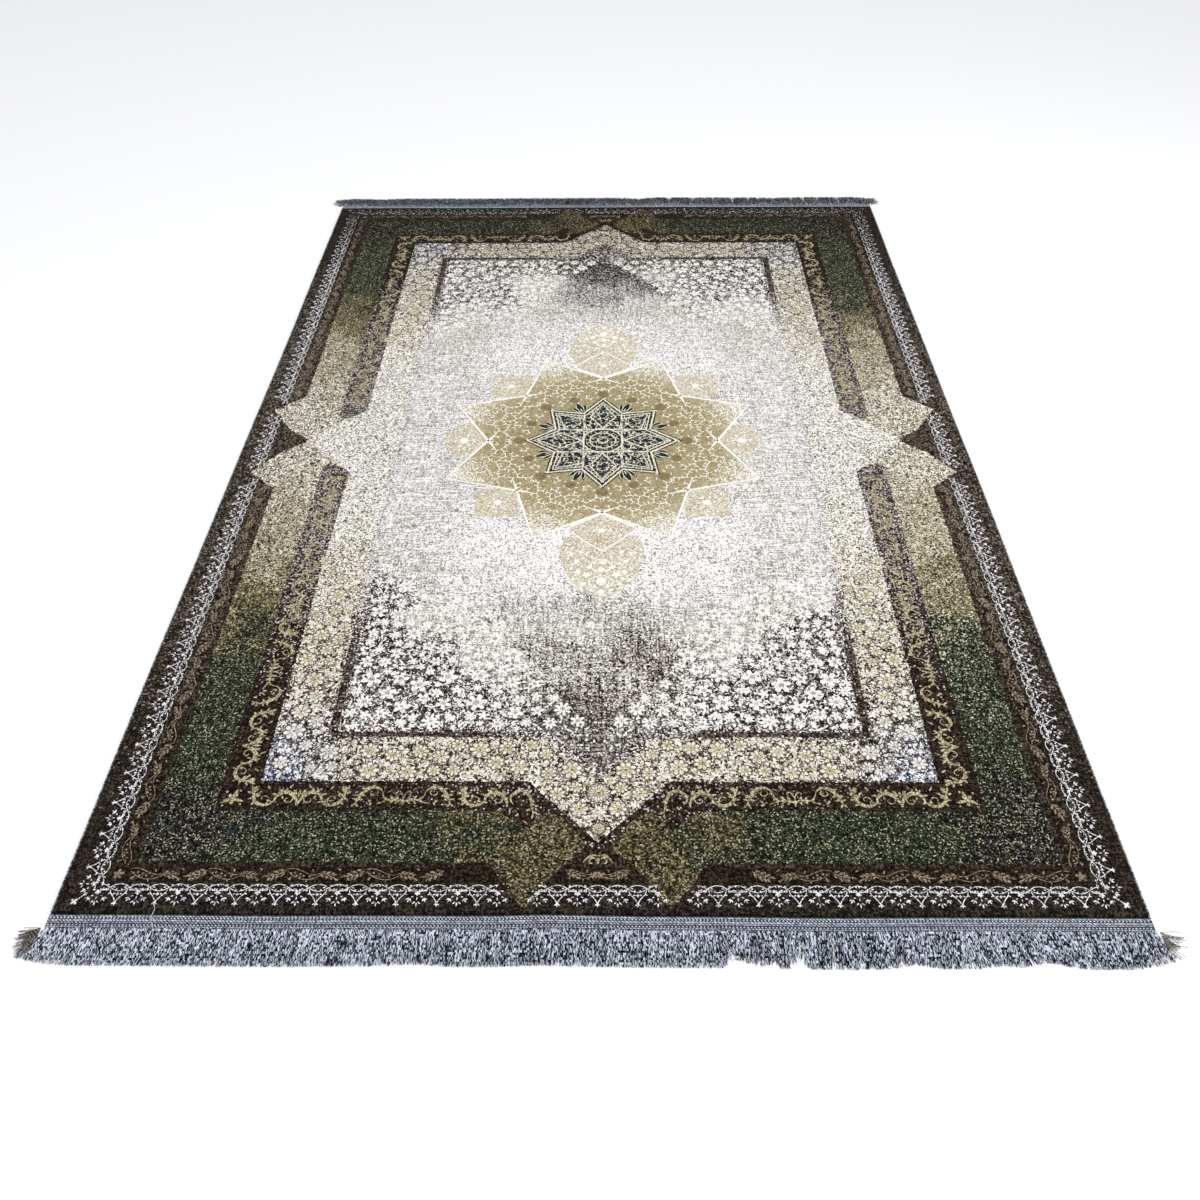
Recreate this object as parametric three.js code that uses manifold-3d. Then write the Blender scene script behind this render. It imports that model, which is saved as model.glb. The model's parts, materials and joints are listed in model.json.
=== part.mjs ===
// Tasseled area rug, lying flat on the floor.
// Millimetres, +Z up. The origin is on the floor under the middle of the rug, +X runs across its
// width and +Y along its length, from the fringe in the foreground to the one at the far end.
//
// The maker's pieces, each a solid of its own:
//   one machine-woven pile cloth, lying flat
//   two overcast edges of grey yarn, along the long sides
//   two bought fringes, each a ribbed tape with its yarn locks, sewn along the short ends
import * as THREE from "three";
import { mergeVertices } from "three/addons/utils/BufferGeometryUtils.js";
import Module from "manifold-3d";

// Driving dimensions
const RUG_WIDTH = 2000;
const CLOTH_LENGTH = 2994;
const CLOTH_THICKNESS = 9;
const CLOTH_EDGE_ROUNDING = 2.2;
const OVERCAST_WIDTH = 4.7;
const OVERCAST_HEIGHT = 8;
const GAP = 0.3;
const TAPE_WIDTH = 31;
const TAPE_THICKNESS = 3.4;
const STITCH_RIDGE_HEIGHT = 1.1;
const STITCH_RIDGE_WIDTH = 5;
const STITCH_ROWS = [8.5, 22.5];
const FRINGE_LOCKS = 112;
const LOCK_LENGTH = 70;
const LOCK_ROOT_IN_TAPE = 5;
const LOCK_HEIGHT = 5.4;
const CORNER_FLARE = 42;
const CORNER_FLARE_WIDTH = 75;
const EDGE_STEP = 90;

// Worked out from them
const CLOTH_WIDTH = RUG_WIDTH - 2 * (OVERCAST_WIDTH + GAP);
const HALF_CLOTH_LENGTH = CLOTH_LENGTH / 2;
const HALF_CLOTH_WIDTH = CLOTH_WIDTH / 2;

// Where the ends bulge or draw in: the place across the rug, how far the bulge reaches to
// either side, and how far it moves the end outwards
const NEAR_END_BULGES = [
  { at: -70, reach: 130, out: -3.5 },
  { at: 420, reach: 210, out: 2 },
  { at: -620, reach: 170, out: 1.5 },
];
const FAR_END_BULGES = [
  { at: 250, reach: 240, out: 2.5 },
  { at: -480, reach: 260, out: -2 },
];

// Where the long sides bulge or draw in, in the same way, along the rug
const LEFT_SIDE_BULGES = [
  { at: -900, reach: 380, out: 1.6 },
  { at: 500, reach: 520, out: -1.8 },
];
const RIGHT_SIDE_BULGES = [
  { at: -300, reach: 460, out: 1.7 },
  { at: 1000, reach: 360, out: -1.5 },
];

// Where the locks of a fringe are matted, cut short or parted: the place, the reach to either
// side, the share of the length that is missing, and the sideways lean of the tips
const NEAR_FRINGE_WEAR = [
  { at: 215, reach: 26, short: 0.34, lean: 3 },
  { at: 262, reach: 20, short: 0.22, lean: -2 },
  { at: 300, reach: 18, short: 0.3, lean: 2 },
  { at: 560, reach: 40, short: 0.12, lean: -2 },
  { at: 780, reach: 50, short: 0.14, lean: 3 },
  { at: -330, reach: 60, short: 0.06, lean: 3 },
];
const FAR_FRINGE_WEAR = [
  { at: -850, reach: 60, short: 0.1, lean: -2 },
  { at: 120, reach: 50, short: 0.15, lean: 3 },
  { at: 640, reach: 70, short: 0.08, lean: -2 },
];

const MATERIALS = {
  pile: new THREE.MeshStandardMaterial({ color: 0x8d8a78, roughness: 0.95, metalness: 0 }),
  overcast: new THREE.MeshStandardMaterial({ color: 0x8f8f90, roughness: 0.85, metalness: 0 }),
  fringe: new THREE.MeshStandardMaterial({ color: 0x5f6670, roughness: 0.7, metalness: 0 }),
};

const wasm = await Module();
wasm.setup();

// A smooth hump, 1 at its middle and 0 at its reach
function hump(distance, reach) {
  const t = Math.min(1, Math.abs(distance) / reach);
  return 0.5 + 0.5 * Math.cos(Math.PI * t);
}

// The sum of a table's bulges at one place along an edge
function bulgeAt(bulges, place) {
  return bulges.reduce((sum, b) => sum + b.out * hump(place - b.at, b.reach), 0);
}

// Distances from the middle of the rug to the four edges of the cloth
const nearEnd = (x) => HALF_CLOTH_LENGTH + bulgeAt(NEAR_END_BULGES, x);
const farEnd = (x) => HALF_CLOTH_LENGTH + bulgeAt(FAR_END_BULGES, x);
const leftSide = (y) => HALF_CLOTH_WIDTH + bulgeAt(LEFT_SIDE_BULGES, y);
const rightSide = (y) => HALF_CLOTH_WIDTH + bulgeAt(RIGHT_SIDE_BULGES, y);

// Evenly spaced places from one value to another, both included
function places(from, to, step) {
  const count = Math.max(1, Math.round(Math.abs(to - from) / step));
  return Array.from({ length: count + 1 }, (_, i) => from + ((to - from) * i) / count);
}

// A repeatable uneven value between -1 and 1 for a numbered lock
function uneven(index, salt) {
  const s = Math.sin(index * 12.9898 + salt * 78.233) * 43758.5453;
  return 2 * (s - Math.floor(s)) - 1;
}

// A closed solid through a row of sections, each with the same number of points
function loft(sections) {
  const around = sections[0].length;
  const points = sections.flat();
  const faces = [];
  for (let s = 0; s + 1 < sections.length; s += 1) {
    for (let p = 0; p < around; p += 1) {
      const a = s * around + p;
      const b = s * around + ((p + 1) % around);
      faces.push(a, b, b + around);
      faces.push(a, b + around, a + around);
    }
  }
  const outline = sections[0].map((p) => new THREE.Vector2(p.along, p.z));
  const caps = THREE.ShapeUtils.triangulateShape(outline, []);
  const last = (sections.length - 1) * around;
  for (const [a, b, c] of caps) {
    faces.push(c, b, a);
    faces.push(last + a, last + b, last + c);
  }
  const geometry = new THREE.BufferGeometry();
  const flatPoints = points.flatMap((p) => [p.x, p.y, p.z]);
  geometry.setAttribute("position", new THREE.Float32BufferAttribute(flatPoints, 3));
  geometry.setIndex(faces);
  return geometry;
}

// A geometry as a solid with its faces outwards, whichever way round it was made
function solid(geometry) {
  const plain = geometry.clone();
  plain.deleteAttribute("normal");
  plain.deleteAttribute("uv");
  const merged = mergeVertices(plain, 1e-3);
  const vertProperties = new Float32Array(merged.getAttribute("position").array);
  const triVerts = new Uint32Array(merged.getIndex().array);
  const manifold = new wasm.Manifold(new wasm.Mesh({ numProp: 3, vertProperties, triVerts }));
  if (manifold.volume() > 0) return manifold;
  const turned = triVerts.slice();
  for (let t = 0; t < turned.length; t += 3) {
    [turned[t + 1], turned[t + 2]] = [turned[t + 2], turned[t + 1]];
  }
  return new wasm.Manifold(new wasm.Mesh({ numProp: 3, vertProperties, triVerts: turned }));
}

function geometryOf(manifold) {
  const mesh = manifold.getMesh();
  const geometry = new THREE.BufferGeometry();
  geometry.setAttribute("position", new THREE.BufferAttribute(mesh.vertProperties, 3));
  geometry.setIndex(new THREE.BufferAttribute(mesh.triVerts, 1));
  geometry.computeVertexNormals();
  return geometry;
}

// The pile cloth: its uneven outline, pressed flat, with the pile rounded over at the edges
function pileCloth() {
  const outline = [];
  for (const x of places(-HALF_CLOTH_WIDTH, HALF_CLOTH_WIDTH, EDGE_STEP)) {
    outline.push(new THREE.Vector2(x, -nearEnd(x)));
  }
  const ySteps = places(-HALF_CLOTH_LENGTH, HALF_CLOTH_LENGTH, EDGE_STEP).slice(1, -1);
  for (const y of ySteps) {
    outline.push(new THREE.Vector2(rightSide(y), y));
  }
  for (const x of places(HALF_CLOTH_WIDTH, -HALF_CLOTH_WIDTH, EDGE_STEP)) {
    outline.push(new THREE.Vector2(x, farEnd(x)));
  }
  for (const y of ySteps.reverse()) {
    outline.push(new THREE.Vector2(-leftSide(y), y));
  }
  const slab = new THREE.ExtrudeGeometry(new THREE.Shape(outline), {
    depth: CLOTH_THICKNESS - 2 * CLOTH_EDGE_ROUNDING,
    bevelThickness: CLOTH_EDGE_ROUNDING,
    bevelSize: CLOTH_EDGE_ROUNDING,
    bevelOffset: -CLOTH_EDGE_ROUNDING,
    bevelSegments: 1,
  });
  slab.translate(0, 0, CLOTH_EDGE_ROUNDING);
  return geometryOf(solid(slab));
}

// One overcast edge: a low round-topped cord of close grey stitches, beside the cloth
function overcastEdge(side, sideLine) {
  const h = OVERCAST_HEIGHT;
  const w = OVERCAST_WIDTH;
  const profile = [
    { along: 0, z: 0 },
    { along: w, z: 0 },
    { along: w, z: h * 0.62 },
    { along: w * 0.6, z: h },
    { along: 0, z: h },
  ];
  const reach = HALF_CLOTH_LENGTH - 1;
  const sections = places(-reach, reach, EDGE_STEP).map((y) =>
    profile.map((p) => ({ ...p, x: side * (sideLine(y) + GAP + p.along), y })),
  );
  return geometryOf(solid(loft(sections)));
}

// The section of a fringe's tape: a flat band with a low ridge along each row of stitches
function tapeProfile() {
  const profile = [
    { along: 0, z: 0 },
    { along: TAPE_WIDTH, z: 0 },
    { along: TAPE_WIDTH, z: TAPE_THICKNESS },
  ];
  for (const row of [...STITCH_ROWS].reverse()) {
    profile.push({ along: row + STITCH_RIDGE_WIDTH / 2, z: TAPE_THICKNESS });
    profile.push({ along: row, z: TAPE_THICKNESS + STITCH_RIDGE_HEIGHT });
    profile.push({ along: row - STITCH_RIDGE_WIDTH / 2, z: TAPE_THICKNESS });
  }
  profile.push({ along: 0, z: TAPE_THICKNESS });
  return profile;
}

// How a lock at one place along the tape is shortened, and how far its tip leans. The tips lean
// away from the middle of a parting, or towards it where the lean is negative.
function wearAt(wear, x) {
  const worn = { short: 0, lean: 0 };
  for (const w of wear) {
    const share = hump(x - w.at, w.reach);
    worn.short += w.short * share;
    worn.lean += w.lean * share * (x < w.at ? -1 : 1);
  }
  return worn;
}

// The sections of a lock from root to tip, as shares of its length, of the pitch, of its
// height and of its lean
const LOCK_SECTIONS = [
  { length: 0, width: 0.9, height: 0.6, lean: 0 },
  { length: 0.45, width: 0.84, height: 1, lean: 0.3 },
  { length: 1, width: 0.46, height: 0.5, lean: 1 },
];
const LOCK_TOP_WIDTH = 0.55;

// How much the locks differ from each other, as shares of the pitch, length and height
const UNEVEN_LEAN = 0.12;
const UNEVEN_LENGTH = 0.055;
const UNEVEN_HEIGHT = 0.12;

// How much shorter the outermost lock reaches, because it splays out sideways
const CORNER_DROP = 0.55;

// One lock: a flat-bottomed bundle of yarn, four-sided, wide at its root and drawn to a tip,
// resting level on the floor all along
function lock(index, endLine, wear, end) {
  const pitch = RUG_WIDTH / FRINGE_LOCKS;
  const rootX = -RUG_WIDTH / 2 + pitch * (index + 0.5);
  const fromCorner = RUG_WIDTH / 2 - Math.abs(rootX);
  const splay = Math.max(0, 1 - fromCorner / CORNER_FLARE_WIDTH) ** 2;
  const worn = wearAt(wear, rootX);
  const flare = Math.sign(rootX) * CORNER_FLARE * splay;
  const lean = flare + worn.lean + uneven(index, 1) * pitch * UNEVEN_LEAN;
  const share = 1 - worn.short - CORNER_DROP * splay + uneven(index, 2) * UNEVEN_LENGTH;
  const length = LOCK_LENGTH * share + LOCK_ROOT_IN_TAPE;
  const root = endLine(rootX) + GAP + TAPE_WIDTH - LOCK_ROOT_IN_TAPE;
  const height = LOCK_HEIGHT * (1 + uneven(index, 3) * UNEVEN_HEIGHT);
  const sections = LOCK_SECTIONS.map((s) => {
    const x = rootX + lean * s.lean;
    const y = end * (root + length * s.length);
    const half = (pitch * s.width) / 2;
    const top = half * LOCK_TOP_WIDTH;
    const z = height * s.height;
    return [
      { along: -half, x: x - half, y, z: 0 },
      { along: half, x: x + half, y, z: 0 },
      { along: top, x: x + top, y, z },
      { along: -top, x: x - top, y, z },
    ];
  });
  return solid(loft(sections));
}

// A fringe: the tape with all its locks fused to it along its outer edge
function fringe(end, endLine, wear) {
  const profile = tapeProfile();
  const sections = places(-RUG_WIDTH / 2, RUG_WIDTH / 2, EDGE_STEP).map((x) =>
    profile.map((p) => ({ ...p, x, y: end * (endLine(x) + GAP + p.along) })),
  );
  const locks = [];
  for (let index = 0; index < FRINGE_LOCKS; index += 1) {
    locks.push(lock(index, endLine, wear, end));
  }
  return geometryOf(locks.reduce((whole, one) => whole.add(one), solid(loft(sections))));
}

function piece(name, geometry, material) {
  const mesh = new THREE.Mesh(geometry, material);
  mesh.name = name;
  return mesh;
}

const rug = new THREE.Group();
rug.add(piece("rug_cloth", pileCloth(), MATERIALS.pile));
rug.add(piece("overcast_left", overcastEdge(-1, leftSide), MATERIALS.overcast));
rug.add(piece("overcast_right", overcastEdge(1, rightSide), MATERIALS.overcast));
rug.add(piece("fringe_near", fringe(-1, nearEnd, NEAR_FRINGE_WEAR), MATERIALS.fringe));
rug.add(piece("fringe_far", fringe(1, farEnd, FAR_FRINGE_WEAR), MATERIALS.fringe));

export default rug;
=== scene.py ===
"""A tasseled area rug in a traditional medallion style, lying flat on a pale floor.

The cloth's ground is one slab whose top is cut into the regions of the pattern. The crisp
motifs stand on it as slightly raised pile. All drawing is in millimetres, with x across the rug
and y along it, and becomes metres when a mesh is made.
"""
import json
import math
import random

import bpy
import numpy as np
from bpy.props import FloatProperty, FloatVectorProperty, IntProperty, PointerProperty
from mathutils import Matrix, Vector
from mathutils.geometry import delaunay_2d_cdt

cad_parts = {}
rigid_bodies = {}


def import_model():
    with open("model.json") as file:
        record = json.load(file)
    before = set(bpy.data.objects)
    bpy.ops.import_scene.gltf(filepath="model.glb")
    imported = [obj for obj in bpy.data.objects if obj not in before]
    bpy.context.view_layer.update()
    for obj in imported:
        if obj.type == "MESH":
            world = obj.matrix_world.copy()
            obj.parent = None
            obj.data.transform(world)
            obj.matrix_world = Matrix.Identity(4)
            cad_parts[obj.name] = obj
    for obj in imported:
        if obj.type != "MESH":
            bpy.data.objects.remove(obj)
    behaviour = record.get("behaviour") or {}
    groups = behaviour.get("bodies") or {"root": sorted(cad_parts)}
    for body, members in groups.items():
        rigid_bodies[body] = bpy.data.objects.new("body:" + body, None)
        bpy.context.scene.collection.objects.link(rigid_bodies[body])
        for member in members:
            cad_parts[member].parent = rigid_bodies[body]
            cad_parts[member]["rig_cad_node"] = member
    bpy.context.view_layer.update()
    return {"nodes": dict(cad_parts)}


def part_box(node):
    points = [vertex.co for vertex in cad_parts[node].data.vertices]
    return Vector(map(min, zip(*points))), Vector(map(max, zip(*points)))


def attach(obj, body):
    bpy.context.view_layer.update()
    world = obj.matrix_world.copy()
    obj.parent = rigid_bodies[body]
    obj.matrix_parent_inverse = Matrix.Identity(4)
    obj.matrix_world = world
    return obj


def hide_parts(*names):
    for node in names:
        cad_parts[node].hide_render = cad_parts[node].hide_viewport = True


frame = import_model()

bl_info = {
    "name": "Tasseled Area Rug",
    "version": (1, 0, 0),
    "blender": (4, 5, 0),
    "location": "3D View > Sidebar > Rug",
    "description": "Builds a fringed medallion rug around its packed solids",
    "category": "Add Mesh",
}

MM = 0.001
CLOTH_LOW, CLOTH_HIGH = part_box("rug_cloth")
PILE_TOP = CLOTH_HIGH.z / MM

# The pattern's own middle lies a little nearer to the near end than the cloth's middle. The
# shift dies out at this distance along the rug
MIDDLE_Y = -20.0
SHIFT_REACH = 620.0

# Half sizes of the bands, from the middle of the rug: across it, and along it
LACE_LINE = (918, 1435)
LEAF_OUTER = (914, 1433)
LEAF_INNER = (883, 1400)
LEAF_MIDDLE = (898.5, 1416.5)
SCROLL_MIDDLE = (717, 1236)

# Periods of the borders' motifs
LACE_PERIOD = 74
LEAF_PERIOD = 148
SCROLL_PERIOD = 209

# Half the cloth's width, as the ends' tapes and yarns take it
HALF_WIDTH = 1000


def colour(text):
    """A colour written as an sRGB hex value, in the linear values that shaders use."""
    parts = [int(text[i:i + 2], 16) / 255 for i in (1, 3, 5)]
    linear = [p / 12.92 if p <= 0.04045 else ((p + 0.055) / 1.055) ** 2.4 for p in parts]
    return (*linear, 1.0)


class RugSizes(bpy.types.PropertyGroup):
    """Sizes that a user would change"""

    knot: FloatProperty(
        name="Knot", description="Width of one speck of pile", default=0.0032, unit="LENGTH"
    )
    motif_height: FloatProperty(
        name="Motif height", description="How far a motif's pile stands up",
        default=0.0005, unit="LENGTH",
    )
    yarns: IntProperty(
        name="Yarns", description="Yarns in each of the two fringes", default=5000
    )
    yarn_width: FloatProperty(
        name="Yarn width", description="Width of one fringe yarn", default=0.0015, unit="LENGTH"
    )
    fringe_length: FloatProperty(
        name="Fringe length", description="Yarn beyond the tape", default=0.07, unit="LENGTH"
    )


class RugStage(bpy.types.PropertyGroup):
    """The floor and the light"""

    floor: FloatVectorProperty(
        name="Floor", description="Colour of the floor", subtype="COLOR", size=4,
        default=colour("#fafafa"),
    )
    light: FloatProperty(
        name="Light", description="Power of the large soft light", default=56.0, unit="POWER"
    )
    sky: FloatProperty(
        name="Sky", description="Strength of the even light from all sides", default=0.88
    )


# Shader building

def add(tree, kind, inputs=None, out=0, **settings):
    """Adds a node, with its settings and with values or links on its inputs."""
    node = tree.nodes.new(kind)
    for key, value in settings.items():
        setattr(node, key, value)
    for key, value in (inputs or {}).items():
        if isinstance(value, bpy.types.NodeSocket):
            tree.links.new(value, node.inputs[key])
        else:
            node.inputs[key].default_value = value
    return node.outputs[out] if node.outputs else node


def palette(tree, value, tones, low=0.27, high=0.73):
    """Colours along a value, evenly from low to high: sRGB hex values in one string."""
    ramp = add(tree, "ShaderNodeValToRGB", {0: value})
    elements = ramp.node.color_ramp.elements
    elements.remove(elements[1])
    tones = tones.split()
    for index, (place, tone) in enumerate(zip(np.linspace(low, high, len(tones)), tones)):
        stop = elements.new(place) if index else elements[0]
        stop.position, stop.color = place, colour("#" + tone)
    return ramp


def dither(tree, position, step, salt):
    """A value from 0 to 1 for each knot, against which a chance is compared."""
    cell = add(tree, "ShaderNodeVectorMath", {0: position, 1: step}, operation="SNAP")
    return add(tree, "ShaderNodeTexWhiteNoise", {"Vector": cell, "W": salt},
               noise_dimensions="4D")


def speckle(tree, position, knot, salt, streak):
    """Uneven dyeing, knot by knot: single specks with short rows along and across the weave.
    Knots are drawn about twice as coarse as real ones, or they would not show."""
    total = 0.0
    sizes = ((1, 1, 0.5), (1 + 3 * streak, 1, 0.27), (1, 1 + 4 * streak, 0.23))
    for index, (wide, long, share) in enumerate(sizes):
        white = dither(tree, position, (knot * wide, knot * long, 1.0), salt + index)
        total = add(tree, "ShaderNodeMath", {0: white, 1: share, 2: total},
                    operation="MULTIPLY_ADD")
    return total


def finished(tree, tint, rough, shine, height=None, bump=0.0, depth=0.0012):
    """The surface: its colour, roughness and shine, and the relief of its fibres."""
    inputs = {"Base Color": tint, "Roughness": rough, "Specular IOR Level": shine}
    if height:
        inputs["Normal"] = add(tree, "ShaderNodeBump", {
            "Height": height, "Strength": bump, "Distance": depth})
    add(tree, "ShaderNodeOutputMaterial", {0: add(tree, "ShaderNodeBsdfPrincipled", inputs)})


def cut_pile(tree, tint, bump=0.25, rough=0.95):
    """Cut pile: matt, with a fine uneven surface from its fibre ends."""
    position = add(tree, "ShaderNodeTexCoord", out="Object")
    tufts = add(tree, "ShaderNodeTexNoise", {"Vector": position, "Scale": 260.0, "Detail": 2.0})
    finished(tree, tint, rough, 0.04, tufts, bump)


def new_material(name):
    """An empty material, its node tree and the place that its patterns follow."""
    made = bpy.data.materials.new(name)
    made.use_nodes = True
    made.node_tree.nodes.clear()
    return made, made.node_tree, add(made.node_tree, "ShaderNodeTexCoord", out="Object")


# Regions of the ground, each with its own uneven dyeing and painted shade at the far end

class Pile:
    """Wool cut pile in the making: a first dye, with other colours laid over it knot by knot, some
    of them painted shade or painted light. Among values, a tuple stands for the fade that its
    numbers give."""

    def __init__(self, name, salt, tones, streak=1.0, scale=1.0):
        knot = bpy.context.scene.rug_sizes.knot * scale
        self.made, self.tree, self.position = new_material(name)
        split = add(self.tree, "ShaderNodeSeparateXYZ", {0: self.position}).node
        self.x, self.y = split.outputs[0], split.outputs[1]
        self.across, self.along = (
            add(self.tree, "ShaderNodeMath", {0: value}, operation="ABSOLUTE")
            for value in (self.x, self.y))
        self.grain = speckle(self.tree, self.position, knot, salt, streak)
        self.die = dither(self.tree, self.position, (knot, knot, 1.0), salt + 50.0)
        self.tint = palette(self.tree, self.grain, tones)

    def fade(self, value, start, end, low=0.0, high=1.0):
        """A smooth change from low to high as a value goes from start to end."""
        inputs = {0: value, 1: start, 2: end, 3: low, 4: high}
        return add(self.tree, "ShaderNodeMapRange", inputs, interpolation_type="SMOOTHSTEP")

    def both(self, *values, operation="MULTIPLY"):
        """Values joined into one, from the first to the last."""
        total, *others = [self.fade(*v) if isinstance(v, tuple) else v for v in values]
        for value in others:
            total = add(self.tree, "ShaderNodeMath", {0: total, 1: value}, operation=operation)
        return total

    def over(self, tones, *chances):
        """Lays a colour over a share of the knots, which is the product of its chances: mostly a
        dye, in a few places painted shade or painted light.
        """
        dye = palette(self.tree, self.grain, tones)
        struck = self.both(self.both(*chances), self.die, operation="GREATER_THAN")
        inputs = {0: struck, 6: self.tint, 7: dye}
        self.tint = add(self.tree, "ShaderNodeMix", inputs, out=2, data_type="RGBA")

    def vines(self, cells, swirl, width):
        """1 on a curly net of thin lines, such as small worn tendrils, and 0 between them."""
        inputs = {"Vector": self.position, "Scale": cells * 0.8}
        noise = add(self.tree, "ShaderNodeTexNoise", inputs, out=1)
        inputs = {0: noise, 1: (swirl,) * 3, 2: self.position}
        curled = add(self.tree, "ShaderNodeVectorMath", inputs, operation="MULTIPLY_ADD")
        net = add(self.tree, "ShaderNodeTexVoronoi", {"Vector": curled, "Scale": cells},
                  feature="DISTANCE_TO_EDGE", voronoi_dimensions="2D")
        return self.both(net, width, operation="LESS_THAN")

    def foliage(self, cells, cut):
        """1 on small curly leaves and 0 in the gaps between them."""
        inputs = {"Vector": self.position, "Scale": cells, "Detail": 2.0, "Distortion": 1.1}
        noise = add(self.tree, "ShaderNodeTexNoise", inputs, noise_dimensions="2D")
        return self.both(noise, cut, operation="GREATER_THAN")

    def clouds(self, scale, reach):
        """Broad soft patches, from -reach to reach."""
        inputs = {"Vector": self.position, "Scale": scale}
        return self.fade(add(self.tree, "ShaderNodeTexNoise", inputs), 0.35, 0.65, -reach, reach)

    def streaks(self, across, along, reach):
        """Uneven weaving, from -reach to reach: stripes with so many to a metre each way."""
        inputs = {0: self.position, 1: (across, along, 1.0)}
        squeezed = add(self.tree, "ShaderNodeVectorMath", inputs, operation="MULTIPLY")
        inputs = {"Vector": squeezed, "Scale": 1.0, "Detail": 3.0}
        return self.fade(add(self.tree, "ShaderNodeTexNoise", inputs), 0.35, 0.65, -reach, reach)

    def radius(self):
        """The distance from the medallion's middle."""
        inputs = {0: self.position, 1: (1.0, 1.0, 0.0), 2: (0.0, -MIDDLE_Y * MM, 0.0)}
        centred = add(self.tree, "ShaderNodeVectorMath", inputs, operation="MULTIPLY_ADD")
        return add(self.tree, "ShaderNodeVectorMath", {0: centred}, out=1, operation="LENGTH")

    def finish(self, bump=0.25, far=0.46):
        """The material, with painted shade that makes its far end darker than its near one."""
        # Painted shade darkens the far end
        self.over("0f0c0a 241d18 3a322b", (self.y, 0.85, 1.55, 0.0, far))
        cut_pile(self.tree, self.tint, bump)
        return self.made


def brown_pile(name, salt, tones, paler, start, end, share):
    """Near-black brown wool pile of the outer bands, paler along the middle of the sides."""
    pile = Pile(name, salt, tones)
    pile.over(paler, (pile.along, start, end, 0.0, share))
    return pile.finish()


def green_pile():
    """Mottled green wool pile under worn tan tendrils, gold towards each middle."""
    pile = Pile("green_gold_pile", 4.0, "0a0e0b 161d17 222c20 3c4635", 0.5)
    patchy = add(pile.tree, "ShaderNodeTexNoise", {"Vector": pile.position, "Scale": 9.0})
    wander = pile.fade(patchy, 0.3, 0.7, -0.09, 0.09)
    side = pile.both(pile.along, wander, operation="ADD")
    end = pile.both(pile.across, wander, operation="ADD")
    # Black corners with a few blue knots
    corner = pile.both((end, 0.6, 0.78), (side, 1.08, 1.28))
    pile.over("090807 131110 201d1b 363636", corner)
    pile.over("1c2f4a 2f4a72 4d6a94", corner, 0.045)
    # Brown and gold towards the middles of the ends and, ever paler, of the sides
    pile.over("17120d 2e261b 4c432d 827650", (end, 0.36, 0.12, 0.0, 0.95))
    pile.over("251f15 50472f 6e6344 8f8360", (side, 0.92, 0.64, 0.0, 0.95))
    pile.over("433b2f 857c67 aba28a dad3bf", (side, 0.66, 0.45, 0.0, 0.95))
    pile.over("2e261d a9a088 e0dbcd ffffff", (side, 0.46, 0.12, 0.0, 0.92))
    # Painted light makes the right side paler, and painted shade makes the far green darker
    pile.over("9a927a c6bfa8 e8e3d3", (pile.x, 0.5, 0.75), (side, 1.08, 0.65, 0.0, 0.38))
    pile.over("14100b 28221b 463d2e", (pile.y, 0.2, 0.6, 0.0, 0.3), (pile.across, 0.7, 0.76))
    # Tendrils, and dark gaps between them
    pile.over("38382c 66644f 908b70 c2bd9f", pile.vines(150.0, 0.007, 0.13), 0.42)
    pile.over("857c60 aba181 cac09c ece5cc", pile.vines(110.0, 0.006, 0.1),
              (side, 0.85, 0.4, 0.0, 0.6))
    pile.over("0e0a07 231c14 433a2b", pile.foliage(95.0, 0.56), (side, 0.95, 0.3, 0.25, 0.8), 0.42)
    return pile.finish(far=0.3)


def scroll_band_pile():
    """Brown wool pile under the gold scrolls, with ghosts of small leaves in it."""
    pile = Pile("scroll_band_brown_pile", 5.0, "0e0a07 1c150f 2b211a 43382f")
    pile.over("463b31 64594d 85796c a79c8f", pile.vines(95.0, 0.007, 0.12),
              (pile.across, 0.66, 0.4, 0.1, 0.5), 0.45)
    worn = pile.both((pile.along, 1.1, 0.35, 0.0, 0.78), (pile.across, 0.42, 0.1, 0.0, 0.2),
                       operation="MAXIMUM")
    pile.over("2a231d 4d433a 827870 cfcac6", worn)
    return pile.finish()


def cream_pile():
    """The cream band's ground: small pale leaves with dark gaps, bluish in the corners."""
    pile = Pile("cream_floral_pile", 6.0, "130e0b 271f1a 3f352d 655a50", 0.4)
    pile.over("12172a 26345a 3f5584 7d90b4", (pile.across, 0.54, 0.66),
              (pile.along, 1.04, 1.17), 0.6)
    pile.over("b1a894 d6cebd ece8df ffffff", (pile.along, 1.0, 0.35), 0.85)
    off_corner = pile.both((pile.across, 0.62, 0.42), (pile.along, 1.12, 0.85),
                             operation="MAXIMUM")
    leaves = pile.both(pile.foliage(104.0, 0.5), pile.vines(84.0, 0.009, 0.1),
                         operation="GREATER_THAN")
    pile.over("97908c cbc8c5 e6e4e3 ffffff", leaves, 0.92)
    pile.over("a89f88 cfc7b0 e3dcca fbf9f2", pile.foliage(104.0, 0.485), off_corner,
              (pile.along, 0.3, 0.6, 0.1, 0.9))
    pile.over("4b4032 6e634f 8f8469", off_corner, 0.08)
    return pile.finish(far=0.6)


def field_line_pile():
    """The thin dark line round the field, which fades out along the sides."""
    pile = Pile("field_line_pile", 7.0, "17100c 2c221c 443830 7c7168")
    faded = "7d756f b8b3af dad7d4 f2f1f0"
    pile.over(faded, (pile.across, 0.26, 0.12, 0.0, 0.45))
    pile.over(faded, (pile.along, 0.88, 0.5, 0.04, 0.97))
    return pile.finish()


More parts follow.
